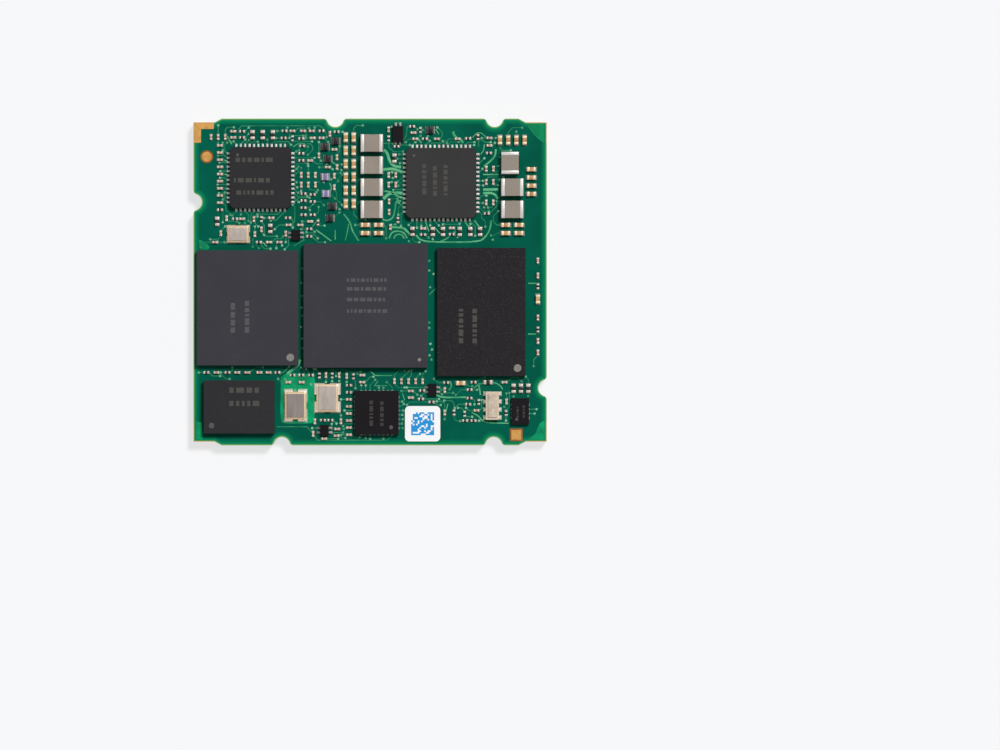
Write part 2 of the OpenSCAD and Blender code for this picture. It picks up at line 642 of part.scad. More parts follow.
module chamfered_body(w, h) {
  c = w / 2 - chip_chamfer;
  linear_extrude(h)
    polygon([
      [w / 2, -c], [w / 2, c], [c, w / 2], [-c, w / 2],
      [-w / 2, c], [-w / 2, -c], [-c, -w / 2], [c, -w / 2]
    ]);
}

module leadframe_chip(at, w, toe, corner) {
  translate([at[0], at[1], z_top])
    difference() {
      chamfered_body(w, leadframe_h);
      square_leadframe(w, toe);
      first_corner(w, w, leadframe_h, corner, small_dot_d);
    }
}

// The board and its bare metal
module board_outline() {
  step_y = board_l / 2 - edge_step;
  run_x = board_w / 2 - corner_run;
  edge_x = run_x - corner_slope;
  polygon([
    [right, -step_y], [right, step_y], [run_x, step_y], [edge_x, top],
    [-edge_x, top], [-run_x, step_y], [left, step_y],
    [left, -step_y], [-run_x, -step_y], [-edge_x, bottom],
    [edge_x, bottom], [run_x, -step_y]
  ]);
}

module notch() {
  mouth_x = sqrt(notch_r * notch_r + 2 * notch_r * notch_mouth_r);
  tangent_y = notch_mouth_r * notch_r / (notch_r + notch_mouth_r);
  circle(r = notch_r, $fn = round_fn);
  difference() {
    translate([-mouth_x, -tangent_y])
      square([2 * mouth_x, tangent_y + notch_r / 2]);
    for (s = [-1, 1])
      translate([s * mouth_x, -notch_mouth_r])
        circle(r = notch_mouth_r, $fn = round_fn);
  }
}

module in_corners() {
  for (x = [0, 1], y = [0, 1])
    mirror([x, 0, 0])
      mirror([0, y, 0])
        translate([board_w / 2, board_l / 2 - edge_step, 0])
          children();
}

module corner_edges() {
  translate([-plating_t, -plating_run, z_under])
    cube([plating_t, plating_run, board_t]);
  translate([-plating_run, -plating_t, z_under])
    cube([plating_run, plating_t, board_t]);
}

module corner_pad(z) {
  translate([-plating_run, -plating_arm_x, z])
    cube([plating_run, plating_arm_x, pad_t]);
  translate([-plating_arm_y, -plating_run, z])
    cube([plating_arm_y, plating_run, pad_t]);
}

module board() {
  color("#0f5c46")
    difference() {
      translate([0, 0, z_under])
        linear_extrude(board_t)
          difference() {
            board_outline();
            for (n = notches)
              translate(n[0])
                rotate(n[1])
                  notch();
          }
      in_corners()
        corner_edges();
    }
}

module corner_plating() {
  color("#e1a550") {
    in_corners()
      union() {
        corner_edges();
        corner_pad(z_under - pad_t);
      }
    mirror([1, 0, 0])
      translate([board_w / 2, board_l / 2 - edge_step, 0])
        corner_pad(z_top);
  }
}

module alignment_marks() {
  color("#e1a550") {
    translate([left + round_mark[0], top - round_mark[1], z_top])
      cylinder(d = mark_w, h = pad_t, $fn = round_fn);
    translate([right - square_mark[0], bottom + square_mark[1], z_top])
      block(mark_w, mark_w, pad_t);
    translate([left + under_square_mark[0], top - under_square_mark[1], z_under - pad_t])
      block(mark_w, mark_w, pad_t);
    translate([right - under_round_mark[0], bottom + under_round_mark[1], z_under - pad_t])
      cylinder(d = mark_w, h = pad_t, $fn = round_fn);
  }
}

module carrier_pads() {
  color("#e4e6e2")
    for (p = carrier_grid)
      translate([p[0] * half, p[1] * half, z_under - pad_t])
        cylinder(d = pad_d, h = pad_t, $fn = ball_fn);
}

// Ball grid chips
module processor_substrate() {
  color("#2f4a3a")
    substrate(processor_at, processor_w, processor_l);
}

module processor_cap() {
  color("#3f3e44")
    moulded_cap(processor_at, processor_w, processor_l, processor_h, lower_right, small_dot_d);
}

module processor_balls() {
  color("silver")
    balls(processor_at, ball_rings(processor_n, processor_m, fine_pitch, fine_pitch, processor_rings));
}

module memory_substrate() {
  color("#2f4a3a")
    substrate(memory_at, memory_w, memory_l);
}

module memory_cap() {
  color("#2c2a2c")
    moulded_cap(memory_at, memory_w, memory_l, memory_h, lower_right, large_dot_d);
}

module memory_balls() {
  all_rings = [for (i = [0:memory_n]) i];
  grid_all = ball_rings(memory_n, memory_m, memory_pitch_x, memory_pitch_y, all_rings);
  color("silver")
    balls(memory_at, [for (p = grid_all) if (abs(p[0]) > memory_free) p]);
}

module storage_substrate() {
  color("#2f4a3a")
    substrate(storage_at, storage_w, storage_l);
}

module storage_cap() {
  color("#3f3e44")
    moulded_cap(storage_at, storage_w, storage_l, storage_h, lower_right, large_dot_d);
}

module storage_balls() {
  color("silver")
    balls(storage_at, ball_rings(storage_n, storage_n, fine_pitch, fine_pitch, storage_rings));
}

module flash_substrate() {
  color("#2f4a3a")
    substrate(flash_at, flash_w, flash_l);
}

module flash_cap() {
  color("#323034")
    moulded_cap(flash_at, flash_w, flash_l, flash_h, lower_left, medium_dot_d);
}

module flash_balls() {
  color("silver")
    balls(flash_at, ball_rings(flash_n, flash_n, flash_pitch, flash_pitch, [0, 1, 2]));
}

// Leadframe chips
module network_chip() {
  color("#373637")
    leadframe_chip(network_at, network_w, lead_toe, upper_left);
}

module network_leads() {
  color("#c9c6bd")
    translate([network_at[0], network_at[1], z_top])
      square_leadframe(network_w, lead_toe);
}

module power_chip() {
  color("#373637")
    leadframe_chip(power_at, power_w, lead_toe, upper_left);
}

module power_leads() {
  color("#c9c6bd")
    translate([power_at[0], power_at[1], z_top])
      square_leadframe(power_w, lead_toe);
}

module interface_chip() {
  color("#1c1a1c")
    leadframe_chip(interface_at, interface_w, 0, lower_right);
}

module interface_leads() {
  color("#c9c6bd")
    translate([interface_at[0], interface_at[1], z_top])
      square_leadframe(interface_w, 0);
}

module identity_chip() {
  color("#242226")
    translate([identity_at[0], identity_at[1], z_top])
      difference() {
        block(identity_w, identity_l, identity_h);
        leads(side_leads(identity_w, identity_l, corner_free), 0);
      }
}

module identity_leads() {
  color("#c9c6bd")
    translate([identity_at[0], identity_at[1], z_top])
      leads(side_leads(identity_w, identity_l, corner_free), 0);
}

// Small logic chips have their leads on two sides
module logic_body(w, l, h) {
  difference() {
    block(w, l, h);
    leads(side_leads(w, l, small_free), lead_toe);
  }
}

module logic_chips() {
  color("#2a282b")
    for (c = logic_top)
      on_top([c])
        logic_body(c[3], c[4], logic_h);
}

module logic_leads() {
  color("#c9c6bd")
    for (c = logic_top)
      on_top([c])
        leads(side_leads(c[3], c[4], small_free), lead_toe);
}

module under_logic_chips() {
  color("#2a282b")
    for (c = logic_under)
      on_under([c])
        logic_body(c[3], c[4], chip_h);
}

module under_logic_leads() {
  color("#c9c6bd")
    for (c = logic_under)
      on_under([c])
        leads(side_leads(c[3], c[4], small_free), lead_toe);
}

// Clock module and crystals: pads on the board, base on the pads, lid on the base
module clock_base() {
  color("#d8cfc6")
    translate([clock_at[0], clock_at[1], z_top + land_t])
      block(clock_w, clock_l, clock_h);
}

module clock_lid() {
  color("#cdb8a8")
    translate([clock_at[0], clock_at[1], z_top + land_t + clock_h])
      rounded_plate(clock_w - 2 * lid_rim, clock_l - 2 * lid_rim, lid_rim, lid_t);
}

module clock_pads() {
  n = floor((clock_l - clock_pad_w) / clock_pitch) + 1;
  color("#e8e4da")
    for (x = [-1, 1], i = [0:n - 1])
      translate([clock_at[0] + x * clock_w / 2, clock_at[1] + (i - (n - 1) / 2) * clock_pitch, z_top])
        block(2 * lead_toe, clock_pad_w, land_t);
}

// Crystals: place, width, length, and reach of the pads along X and Y
crystals = [
  [small_crystal_at, crystal_w, small_crystal_w, crystal_pad_lip, small_crystal_lip],
  [crystal_a_at, crystal_w, crystal_l, crystal_pad_lip, crystal_toe],
  [crystal_b_at, crystal_w, crystal_l, crystal_toe, crystal_pad_lip]
];

module crystal_bases() {
  color("#d9b98f")
    for (c = crystals)
      translate([c[0][0], c[0][1], z_top + land_t])
        difference() {
          block(c[1], c[2], crystal_h);
          for (x = [-1, 1], y = [-1, 1])
            translate([x * c[1] / 2, y * c[2] / 2, -land_t])
              cylinder(r = castellation_r, h = crystal_h + 2 * land_t, $fn = ball_fn);
        }
}

module crystal_lids() {
  color("#a59d97")
    for (c = crystals)
      translate([c[0][0], c[0][1], z_top + land_t + crystal_h])
        rounded_plate(c[1] - 2 * lid_rim, c[2] - 2 * lid_rim, lid_rim, lid_t);
}

module crystal_pads() {
  color("#efe3c8")
    for (c = crystals, x = [-1, 1], y = [-1, 1])
      let (w = c[1] * crystal_pad_share + c[3], l = c[2] * crystal_pad_share + c[4])
        translate([c[0][0] + x * (c[1] / 2 + c[3] - w / 2), c[0][1] + y * (c[2] / 2 + c[4] - l / 2), z_top])
          block(w, l, land_t);
}

// Power inductors
module inductor_cores() {
  color("#a09487")
    on_top(inductors)
      translate([0, 0, body_inset])
        block(inductor_l - 2 * terminal_l, inductor_w - 2 * body_inset, inductor_h - 2 * body_inset);
}

module inductor_terminals() {
  color("#e1dad4")
    on_top(inductors)
      for (s = [-1, 1])
        translate([s * (inductor_l - terminal_l) / 2, 0, 0])
          block(terminal_l, inductor_w, inductor_h);
}

// Chip parts on the top side
module capacitor_bodies() {
  color("#d9ab7a")
    on_top(capacitors)
      chip_body(chip_l, chip_w, chip_h);
}

module capacitor_ends() {
  color("#e6dccb")
    on_top(capacitors)
      chip_ends(chip_l, chip_w, chip_h);
}

module small_capacitor_bodies() {
  color("#cdb59f")
    on_top(small_capacitors)
      chip_body(small_l, small_w, small_h);
}

module small_capacitor_ends() {
  color("#ddd3c6")
    on_top(small_capacitors)
      chip_ends(small_l, small_w, small_h);
}

module resistor_bodies() {
  color("#2b2a2c")
    on_top(resistors)
      chip_body(chip_l, chip_w, resistor_h);
}

module resistor_ends() {
  color("#d4ccc0")
    on_top(resistors)
      chip_ends(chip_l, chip_w, resistor_h);
}

module small_resistor_bodies() {
  color("#2b2a2c")
    on_top(small_resistors)
      chip_body(small_l, small_w, small_resistor_h);
}

module small_resistor_ends() {
  color("#c9c0b4")
    on_top(small_resistors)
      chip_ends(small_l, small_w, small_resistor_h);
}

module ferrite_beads() {
  color("#1d1c1e")
    on_top(beads)
      chip_body(bead_w, bead_w, bead_h);
}

module ferrite_bead_ends() {
  color("#4a4748")
    on_top(beads)
      chip_ends(bead_w, bead_w, bead_h);
}

module filter_chips() {
  color("#4d4a68")
    on_top(filters)
      chip_body(bead_w, bead_w, bead_h);
}

module filter_chip_ends() {
  color("#cfc8c4")
    on_top(filters)
      chip_ends(bead_w, bead_w, bead_h);
}

module code_label() {
  color("#f4f2f0")
    translate([label_at[0], label_at[1], z_top])
      rounded_plate(label_w, label_w, label_r, label_t);
}

// Chip parts and label under the board
module under_capacitor_bodies() {
  color("#d9ab7a")
    on_under(under_capacitors)
      chip_body(chip_l, chip_w, chip_h);
}

module under_capacitor_ends() {
  color("#e6dccb")
    on_under(under_capacitors)
      chip_ends(chip_l, chip_w, chip_h);
}

module under_small_capacitor_bodies() {
  color("#cdb59f")
    on_under(under_small_capacitors)
      chip_body(small_l, small_w, small_h);
}

module under_small_capacitor_ends() {
  color("#ddd3c6")
    on_under(under_small_capacitors)
      chip_ends(small_l, small_w, small_h);
}

module under_resistor_bodies() {
  color("#2b2a2c")
    on_under(under_resistors)
      chip_body(small_l, small_w, small_resistor_h);
}

module under_resistor_ends() {
  color("#c9c0b4")
    on_under(under_resistors)
      chip_ends(small_l, small_w, small_resistor_h);
}

module under_label() {
  color("#f4f2f0")
    translate([under_label_at[0], under_label_at[1], z_under])
      mirror([0, 0, 1])
        rounded_plate(label_w, label_w, label_r, label_t);
}

board();
corner_plating();
alignment_marks();
carrier_pads();
processor_substrate();
processor_cap();
processor_balls();
memory_substrate();
memory_cap();
memory_balls();
storage_substrate();
storage_cap();
storage_balls();
flash_substrate();
flash_cap();
flash_balls();
network_chip();
network_leads();
power_chip();
power_leads();
interface_chip();
interface_leads();
identity_chip();
identity_leads();
clock_base();
clock_lid();
clock_pads();
crystal_bases();
crystal_lids();
crystal_pads();
inductor_cores();
inductor_terminals();
capacitor_bodies();
capacitor_ends();
small_capacitor_bodies();
small_capacitor_ends();
resistor_bodies();
resistor_ends();
small_resistor_bodies();
small_resistor_ends();
ferrite_beads();
ferrite_bead_ends();
filter_chips();
filter_chip_ends();
logic_chips();
logic_leads();
code_label();
under_capacitor_bodies();
under_capacitor_ends();
under_small_capacitor_bodies();
under_small_capacitor_ends();
under_resistor_bodies();
under_resistor_ends();
under_logic_chips();
under_logic_leads();
under_label();
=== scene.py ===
# Looks of a system on module: board, chips, clock parts, coils and chip parts on both sides
import math
import random
import bmesh
import bpy
import numpy as np
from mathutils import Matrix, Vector


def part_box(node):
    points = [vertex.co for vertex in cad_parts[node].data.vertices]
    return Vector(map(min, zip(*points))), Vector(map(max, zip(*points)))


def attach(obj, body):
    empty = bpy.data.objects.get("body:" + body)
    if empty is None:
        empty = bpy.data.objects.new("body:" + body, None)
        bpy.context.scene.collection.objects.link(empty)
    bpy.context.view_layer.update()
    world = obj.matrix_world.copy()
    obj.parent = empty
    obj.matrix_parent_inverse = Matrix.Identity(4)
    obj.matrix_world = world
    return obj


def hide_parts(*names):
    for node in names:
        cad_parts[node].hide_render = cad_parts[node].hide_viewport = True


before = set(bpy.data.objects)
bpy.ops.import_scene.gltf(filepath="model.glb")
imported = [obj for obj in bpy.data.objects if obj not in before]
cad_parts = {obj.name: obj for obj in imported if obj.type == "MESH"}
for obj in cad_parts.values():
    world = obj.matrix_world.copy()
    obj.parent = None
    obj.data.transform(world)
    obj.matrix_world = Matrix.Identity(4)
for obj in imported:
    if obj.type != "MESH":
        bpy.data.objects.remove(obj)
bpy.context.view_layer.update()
mm = 0.001
boardLow, boardHigh = (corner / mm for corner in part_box("board"))
halfWide, halfLong = boardHigh.x, boardHigh.y
zUnder, zTop = boardLow.z, boardHigh.z
print("frame: board", [round(v, 2) for v in boardHigh - boardLow], "mm,", len(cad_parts), "nodes")


# Screen values from 0 to 255 as the linear colour that a shader takes, by the sRGB curve
def tint(red, green, blue):
    shares = [value / 255 for value in (red, green, blue)]
    return tuple(s / 12.92 if s < 0.0405 else ((s + 0.055) / 1.055) ** 2.4 for s in shares) + (1.0,)


# A method that adds a Math node with two inputs
def operator(operation, reflected=False):
    def method(self, other):
        return self.math(operation, *((other, self) if reflected else (self, other)))
    return method


# A value inside a material, on which Python's operators add Math nodes
class Sock:
    __add__, __radd__ = operator("ADD"), operator("ADD", True)
    __sub__, __rsub__ = operator("SUBTRACT"), operator("SUBTRACT", True)
    __mul__, __rmul__ = operator("MULTIPLY"), operator("MULTIPLY", True)
    __truediv__, __rtruediv__ = operator("DIVIDE"), operator("DIVIDE", True)
    least, most = operator("MINIMUM"), operator("MAXIMUM")

    def __init__(self, look, socket):
        self.look = look
        self.socket = socket

    def math(self, operation, *values):
        return self.look.node("ShaderNodeMath", {"operation": operation}, dict(enumerate(values)))

    def __abs__(self):
        return self.math("ABSOLUTE", self)

    def root(self):
        return self.math("SQRT", self)

    def step(self, low, high):  # 0 below low, 1 above high, smooth between
        return self.look.node("ShaderNodeMapRange", {"interpolation_type": "SMOOTHSTEP"},
                              {"Value": self, "From Min": low, "From Max": high})


# Nodes of a material or of the world
class Nodes:
    def __init__(self, tree):
        self.tree = tree

    def node(self, kind, settings, sockets, out=0):
        made = self.tree.nodes.new(kind)
        for key, value in settings.items():
            setattr(made, key, value)
        for key, value in sockets.items():
            self.feed(made.inputs[key], value)
        return Sock(self, made.outputs[out])

    def feed(self, socket, value):
        if isinstance(value, Sock):
            self.tree.links.new(value.socket, socket)
        else:
            socket.default_value = value

    def seenRays(self):  # rays of the camera and of what it sees in metal
        seen = self.node("ShaderNodeLightPath", {}, {}, "Is Camera Ray")
        rays = seen.socket.node.outputs
        for name in ("Is Glossy Ray", "Is Transmission Ray"):
            seen = seen.most(Sock(self, rays[name]))
        return seen


# A material with one Principled shader, whose sockets take fixed and varying values
class Look(Nodes):
    def __init__(self, name, **fixed):
        self.material = bpy.data.materials.new(name + "Finish")
        self.material.use_nodes = True
        super().__init__(self.material.node_tree)
        self.shader = self.tree.nodes["Principled BSDF"]
        self.give(**fixed)

    def give(self, **sockets):
        for key, value in sockets.items():
            self.feed(self.shader.inputs[shaderSockets[key]], value)
        return self.material

    def place(self):  # millimetres in the part's own frame
        spot = self.node("ShaderNodeTexCoord", {}, {}, "Object")
        return self.node("ShaderNodeVectorMath", {"operation": "SCALE"}, {0: spot, "Scale": 1 / mm})

    def axes(self, vector):
        split = self.node("ShaderNodeSeparateXYZ", {}, {0: vector})
        return [Sock(self, split.socket.node.outputs[i]) for i in range(3)]

    def noise(self, size, detail=2.0, stretch=(1, 1, 1)):  # size of a blotch in millimetres
        spot = self.node("ShaderNodeVectorMath", {"operation": "MULTIPLY"}, {0: self.place(), 1: stretch})
        return self.node("ShaderNodeTexNoise", {}, {"Vector": spot, "Scale": 1 / size, "Detail": detail})

    def perPart(self):  # a steady random value for each separate solid in a mesh
        return self.node("ShaderNodeNewGeometry", {}, {}, "Random Per Island")

    def facing(self):  # how far a face looks up or down
        normal = self.node("ShaderNodeNewGeometry", {}, {}, "Normal")
        return self.axes(normal)[2]

    def mix(self, share, one, other):  # 6, 7 and 2 are the node's colour sockets
        return self.node("ShaderNodeMix", {"data_type": "RGBA"}, {0: share, 6: one, 7: other}, 2)

    def bump(self, height, strength, depth):
        sockets = {"Height": height, "Strength": strength, "Distance": depth * mm}
        return self.node("ShaderNodeBump", {}, sockets)


shaderSockets = {
    "colour": "Base Color", "rough": "Roughness", "metal": "Metallic", "gloss": "Specular IOR Level",
    "normal": "Normal", "coat": "Coat Weight", "coatRough": "Coat Roughness",
}


# Solder mask on the faces, cut glass laminate on the edges, with a paler rim where no copper lies
maskTone = {
    "green": tint(0, 94, 74), "deep": tint(0, 84, 66), "rim": tint(8, 140, 92), "lip": tint(134, 172, 92),
    "core": tint(196, 186, 122), "coreDark": tint(146, 140, 80), "rimWide": 0.8, "lipWide": 0.18,
    "cloud": 5.0, "weave": 0.35, "layer": 0.13, "layerStretch": (0.012, 0.012, 1.0),
    "patches": (0.35, 0.65), "rimLeast": 0.75, "lipFrom": 0.02, "upright": (0.3, 0.7),
    "rough": 0.34, "weaveRough": 0.1, "sideRough": 0.3, "sideBump": 2, "coat": 0.02,
    "notchRadius": 0.95, "cornerStep": 0.42, "cornerRun": 2.4, "cornerSlope": 0.8,
    "notches": [(16.05, 0), (34.1, 0), (10.0, 37), (34.0, 37), (0, 9.45), (40, 30.5)],
}


def fromCorner(x, y):  # millimetres right and down from the upper left corner of the board
    return x - halfWide, halfLong - y


def corners(*points):
    return [fromCorner(x, y) for x, y in points]


def edgeDistance(look, tone):
    x, y, _ = look.axes(look.place())
    aside, along = abs(x), abs(y)
    slope = (aside - (halfWide - tone["cornerRun"] - tone["cornerSlope"])) / tone["cornerSlope"]
    stepped = halfLong - tone["cornerStep"] * slope.most(0.0).least(1.0)
    nearest = (halfWide - aside).least(stepped - along)
    for spot in tone["notches"]:
        notchX, notchY = fromCorner(*spot)
        dx = x - notchX
        dy = y - notchY
        nearest = nearest.least((dx * dx + dy * dy).root() - tone["notchRadius"])
    return nearest


def maskLook():
    tone = maskTone
    look = Look("mask", gloss=0.02, coatRough=0.22)
    inward = edgeDistance(look, tone)
    cloud = look.noise(tone["cloud"], detail=3.0)
    weave = look.noise(tone["weave"], detail=1.0)
    green = look.mix(cloud.step(*tone["patches"]), tone["deep"], tone["green"])
    cloudy = tone["rimLeast"] + (1 - tone["rimLeast"]) * cloud
    green = look.mix((1 - inward.step(0.0, tone["rimWide"])) * cloudy, green, tone["rim"])
    green = look.mix(1 - inward.step(tone["lipFrom"], tone["lipWide"]), green, tone["lip"])
    layers = look.noise(tone["layer"], detail=1.0, stretch=tone["layerStretch"])
    core = look.mix(layers.step(*tone["patches"]), tone["coreDark"], tone["core"])
    side = 1 - abs(look.facing()).step(*tone["upright"])
    return look.give(
        colour=look.mix(side, green, core),
        rough=tone["rough"] + tone["weaveRough"] * weave + tone["sideRough"] * side,
        coat=tone["coat"] * (1 - side),
        normal=look.bump(weave + layers * side * tone["sideBump"], strength=0.12, depth=0.02))


# In the other finishes: blotches in millimetres, where they start and end, and what they add
noiseMiddle = 0.5
copperSkin = {"cloud": 1.6, "grain": 0.12, "patches": (0.3, 0.7), "rough": 0.32, "grainRough": 0.14}
metalSkin = {"grain": 0.09, "patchGrains": 6, "patches": (0.3, 0.75), "dulled": 0.8, "patchMetal": 0.12,
             "grainRough": 0.16, "partRough": 0.1}
mouldingSkin = {"drift": 3.5, "patches": (0.3, 0.7), "driftShare": 0.5, "paler": 1.16, "fleckGrains": 0.6,
                "flecks": (0.62, 0.72), "rough": 0.52, "grainRough": 0.2}
ceramicSkin = {"grain": 0.07, "patches": (0.4, 0.75), "sheet": 0.05, "sheetStretch": (0.1, 0.1, 1.0),
               "bands": (0.4, 0.6), "partShare": 0.55, "grainShare": 0.3, "grainRough": 0.18}
paperSkin = {"fibre": 0.18, "patches": (0.35, 0.8), "fibreShare": 0.6, "rough": 0.46, "fibreRough": 0.2}


def copperLook(name, light, dark):  # mask over copper: paler where the copper lies
    skin = copperSkin
    look = Look(name, gloss=0.05)
    cloud = look.noise(skin["cloud"])
    grain = look.noise(skin["grain"])
    return look.give(
        colour=look.mix(cloud.step(*skin["patches"]), tint(*dark), tint(*light)),
        rough=skin["rough"] + skin["grainRough"] * grain,
        normal=look.bump(grain, strength=0.1, depth=0.01))


def metalLook(name, bright, dull, rough, metal, size=metalSkin["grain"], wear=0.5, stretch=(1, 1, 1)):
    skin = metalSkin
    look = Look(name)
    grain = look.noise(size, 3.0, stretch)
    patch = look.noise(size * skin["patchGrains"], 2.0, stretch)
    part = look.perPart()
    shade = (patch.step(*skin["patches"]) * wear + part * (1 - wear)) * skin["dulled"]
    return look.give(
        colour=look.mix(shade, tint(*bright), tint(*dull)),
        metal=metal - skin["patchMetal"] * patch,
        rough=rough + skin["grainRough"] * (grain - noiseMiddle) + skin["partRough"] * part,
        normal=look.bump(grain, strength=0.18, depth=0.01))


def mouldingLook(name, base, speck, speckShare, size):
    skin = mouldingSkin
    look = Look(name, gloss=0.06)
    grain = look.noise(size, detail=4.0)
    drift = look.noise(skin["drift"])
    flecks = look.noise(size * skin["fleckGrains"], detail=1.0).step(*skin["flecks"])
    plain = tint(*base)
    paler = tuple(v * skin["paler"] for v in plain[:3]) + (1.0,)
    soft = look.mix(drift.step(*skin["patches"]) * skin["driftShare"], plain, paler)
    return look.give(
        colour=look.mix(flecks * speckShare, soft, tint(*speck)),
        rough=skin["rough"] + skin["grainRough"] * grain,
        normal=look.bump(grain, strength=0.22, depth=0.012))


def ceramicLook(name, base, dark, rough=0.5, banded=0.0):
    skin = ceramicSkin
    look = Look(name, gloss=0.2)
    grain = look.noise(skin["grain"], detail=3.0)
    part = look.perPart()
    layers = look.noise(skin["sheet"], detail=1.0, stretch=skin["sheetStretch"])
    shade = part * skin["partShare"] + grain.step(*skin["patches"]) * skin["grainShare"]
    shade = shade + layers.step(*skin["bands"]) * banded
    return look.give(
        colour=look.mix(shade, tint(*base), tint(*dark)),
        rough=rough + skin["grainRough"] * (grain - noiseMiddle),
        normal=look.bump(grain, strength=0.15, depth=0.008))


def paperLook(name, base, dark):
    skin = paperSkin
    look = Look(name, gloss=0.1)
    fibre = look.noise(skin["fibre"], detail=4.0)
    return look.give(
        colour=look.mix(fibre.step(*skin["patches"]) * skin["fibreShare"], tint(*base), tint(*dark)),
        rough=skin["rough"] + skin["fibreRough"] * fibre,
        normal=look.bump(fibre, strength=0.08, depth=0.006))


copperTones = {  # pale and dark tone
    "trace": ((64, 150, 108), (30, 120, 86)),
    "oliveTrace": ((108, 140, 90), (72, 120, 80)),
    "paleTrace": ((104, 184, 134), (58, 150, 104)),
    "via": ((150, 198, 170), (58, 146, 106)),
    "pour": ((10, 162, 106), (16, 124, 82)),
    "resist": ((176, 104, 52), (142, 86, 44)),
}
metalTones = {  # bright and dull tone, roughness, metal, grain, wear, stretch
    "gold": ((202, 153, 80), (176, 122, 58), 0.28, 0.55, 0.12, 0.8),
    # tin darkened as painted shade, standing in for the shadow on leads under a chip's edge
    "dullTin": ((128, 122, 120), (82, 78, 78), 0.42, 0.6),
    "tin": ((184, 181, 176), (148, 144, 139), 0.44, 0.4),
    "carrier": ((230, 232, 228), (200, 203, 199), 0.34, 0.5, 0.1, 0.4),
    "solder": ((176, 174, 170), (124, 122, 119), 0.5, 0.3),
    "lid": ((134, 125, 120), (104, 95, 91), 0.36, 0.45, 0.1, 0.8, (1, 0.12, 1)),
    "paleLid": ((173, 163, 154), (146, 135, 127), 0.36, 0.4, 0.1, 0.8, (1, 0.3, 1)),
    "clockLid": ((198, 185, 166), (158, 138, 120), 0.5, 0.25, 0.09, 0.9),
    "pillow": ((238, 229, 218), (218, 200, 178), 0.44, 0.3, 0.1, 0.6),
    "seal": ((224, 204, 170), (198, 166, 126), 0.32, 0.5),
    "coilEnd": ((206, 202, 197), (184, 179, 173), 0.3, 0.45, 0.12, 0.5),
    # capacitor end tin, tinted cream as a painted warm reflection
    "cream": ((220, 203, 174), (200, 175, 140), 0.36, 0.4, 0.1, 0.4),
    "silverEnd": ((204, 194, 182), (168, 155, 142), 0.3, 0.5, 0.08, 0.3),
    "beadEnd": ((42, 39, 41), (26, 24, 25), 0.45, 0.3),
    "violetEnd": ((176, 168, 184), (132, 124, 144), 0.45, 0.45),
}
mouldingTones = {  # tone, tone and share of the specks, grain
    "grey": ((57, 56, 62), (98, 96, 102), 0.3, 0.16),
    "black": ((35, 33, 35), (98, 94, 96), 0.34, 0.22),
    "charcoal": ((43, 42, 44), (92, 88, 90), 0.3, 0.14),
    "smoke": ((54, 53, 54), (98, 95, 96), 0.3, 0.14),
    "jet": ((22, 20, 22), (60, 54, 60), 0.3, 0.12),
    "ferrite": ((146, 136, 126), (190, 180, 168), 0.5, 0.1),
}
ceramicTones = {  # pale and dark tone, roughness, banding
    "laminate": ((58, 82, 58), (34, 52, 40), 0.55, 0.5),
    "pottery": ((222, 206, 186), (186, 164, 142)),
    "amber": ((228, 206, 174), (200, 166, 128)),
    "tan": ((214, 164, 114), (168, 116, 72), 0.42, 0.3),
    "blush": ((206, 176, 152), (136, 104, 86), 0.42, 0.2),
    "glaze": ((30, 29, 32), (58, 50, 52), 0.28),
    "bead": ((20, 18, 20), (34, 30, 32), 0.36),
    "violet": ((128, 122, 166), (98, 92, 136), 0.4),
}
paperTones = {  # tone and darker fibres
    "paper": ((250, 250, 250), (236, 237, 240)),
    "ink": ((32, 146, 214), (58, 162, 222)),
    "mark": ((86, 85, 88), (74, 73, 77)),
    "faintMark": ((77, 75, 71), (66, 64, 62)),
    "dimMark": ((60, 58, 58), (52, 51, 51)),
    "dimple": ((134, 131, 126), (116, 114, 110)),
}
finishes = {"mask": maskLook()}
for make, tones in ((copperLook, copperTones), (metalLook, metalTones), (mouldingLook, mouldingTones),
                    (ceramicLook, ceramicTones), (paperLook, paperTones)):
    for name, values in tones.items():
        finishes[name] = make(name, *values)
print("finishes:", len(finishes))


# Boxes of the separate solids in a node, in millimetres
def islands(node):
    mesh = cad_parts[node].data
    points = np.empty(len(mesh.vertices) * 3)
    mesh.vertices.foreach_get("co", points)
    points = points.reshape(-1, 3) / mm
    known = {}
    welded = [known.setdefault(tuple(p), len(known)) for p in np.round(points, 5)]
    above = list(range(len(known)))

    def head(i):
        while above[i] != i:
            above[i] = above[above[i]]
            i = above[i]
        return i

    for face in mesh.polygons:
        first = head(welded[face.vertices[0]])
        for v in face.vertices[1:]:
            above[head(welded[v])] = first
    groups = {}
    for p, w in zip(points, welded):
        groups.setdefault(head(w), []).append(p)
    return [(np.min(g, axis=0), np.max(g, axis=0)) for g in groups.values()]


def middle(box):
    return (box[0] + box[1]) / 2


def closest(boxes, spot):
    return min(boxes, key=lambda box: np.linalg.norm(middle(box) - spot))


def placed(name, data):
    thing = bpy.data.objects.new(name, data)
    bpy.context.scene.collection.objects.link(thing)
    return thing


creaseAngle = math.radians(42)  # faces that meet more steeply keep a sharp edge


def addPiece(name, bm, finish, slot, nodes=(), weighted=True):
    bmesh.ops.recalc_face_normals(bm, faces=bm.faces)
    bmesh.ops.scale(bm, vec=(mm, mm, mm), verts=bm.verts)
    mesh = bpy.data.meshes.new(name)
    bm.to_mesh(mesh)
    bm.free()
    mesh.shade_smooth()
    mesh.set_sharp_from_angle(angle=creaseAngle)
    mesh.materials.append(finishes[finish])
    piece = placed(name, mesh)
    if weighted:
        even = piece.modifiers.new("evenFaces", "WEIGHTED_NORMAL")
        even.keep_sharp = True
    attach(piece, "root")
    if nodes:
        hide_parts(*nodes)


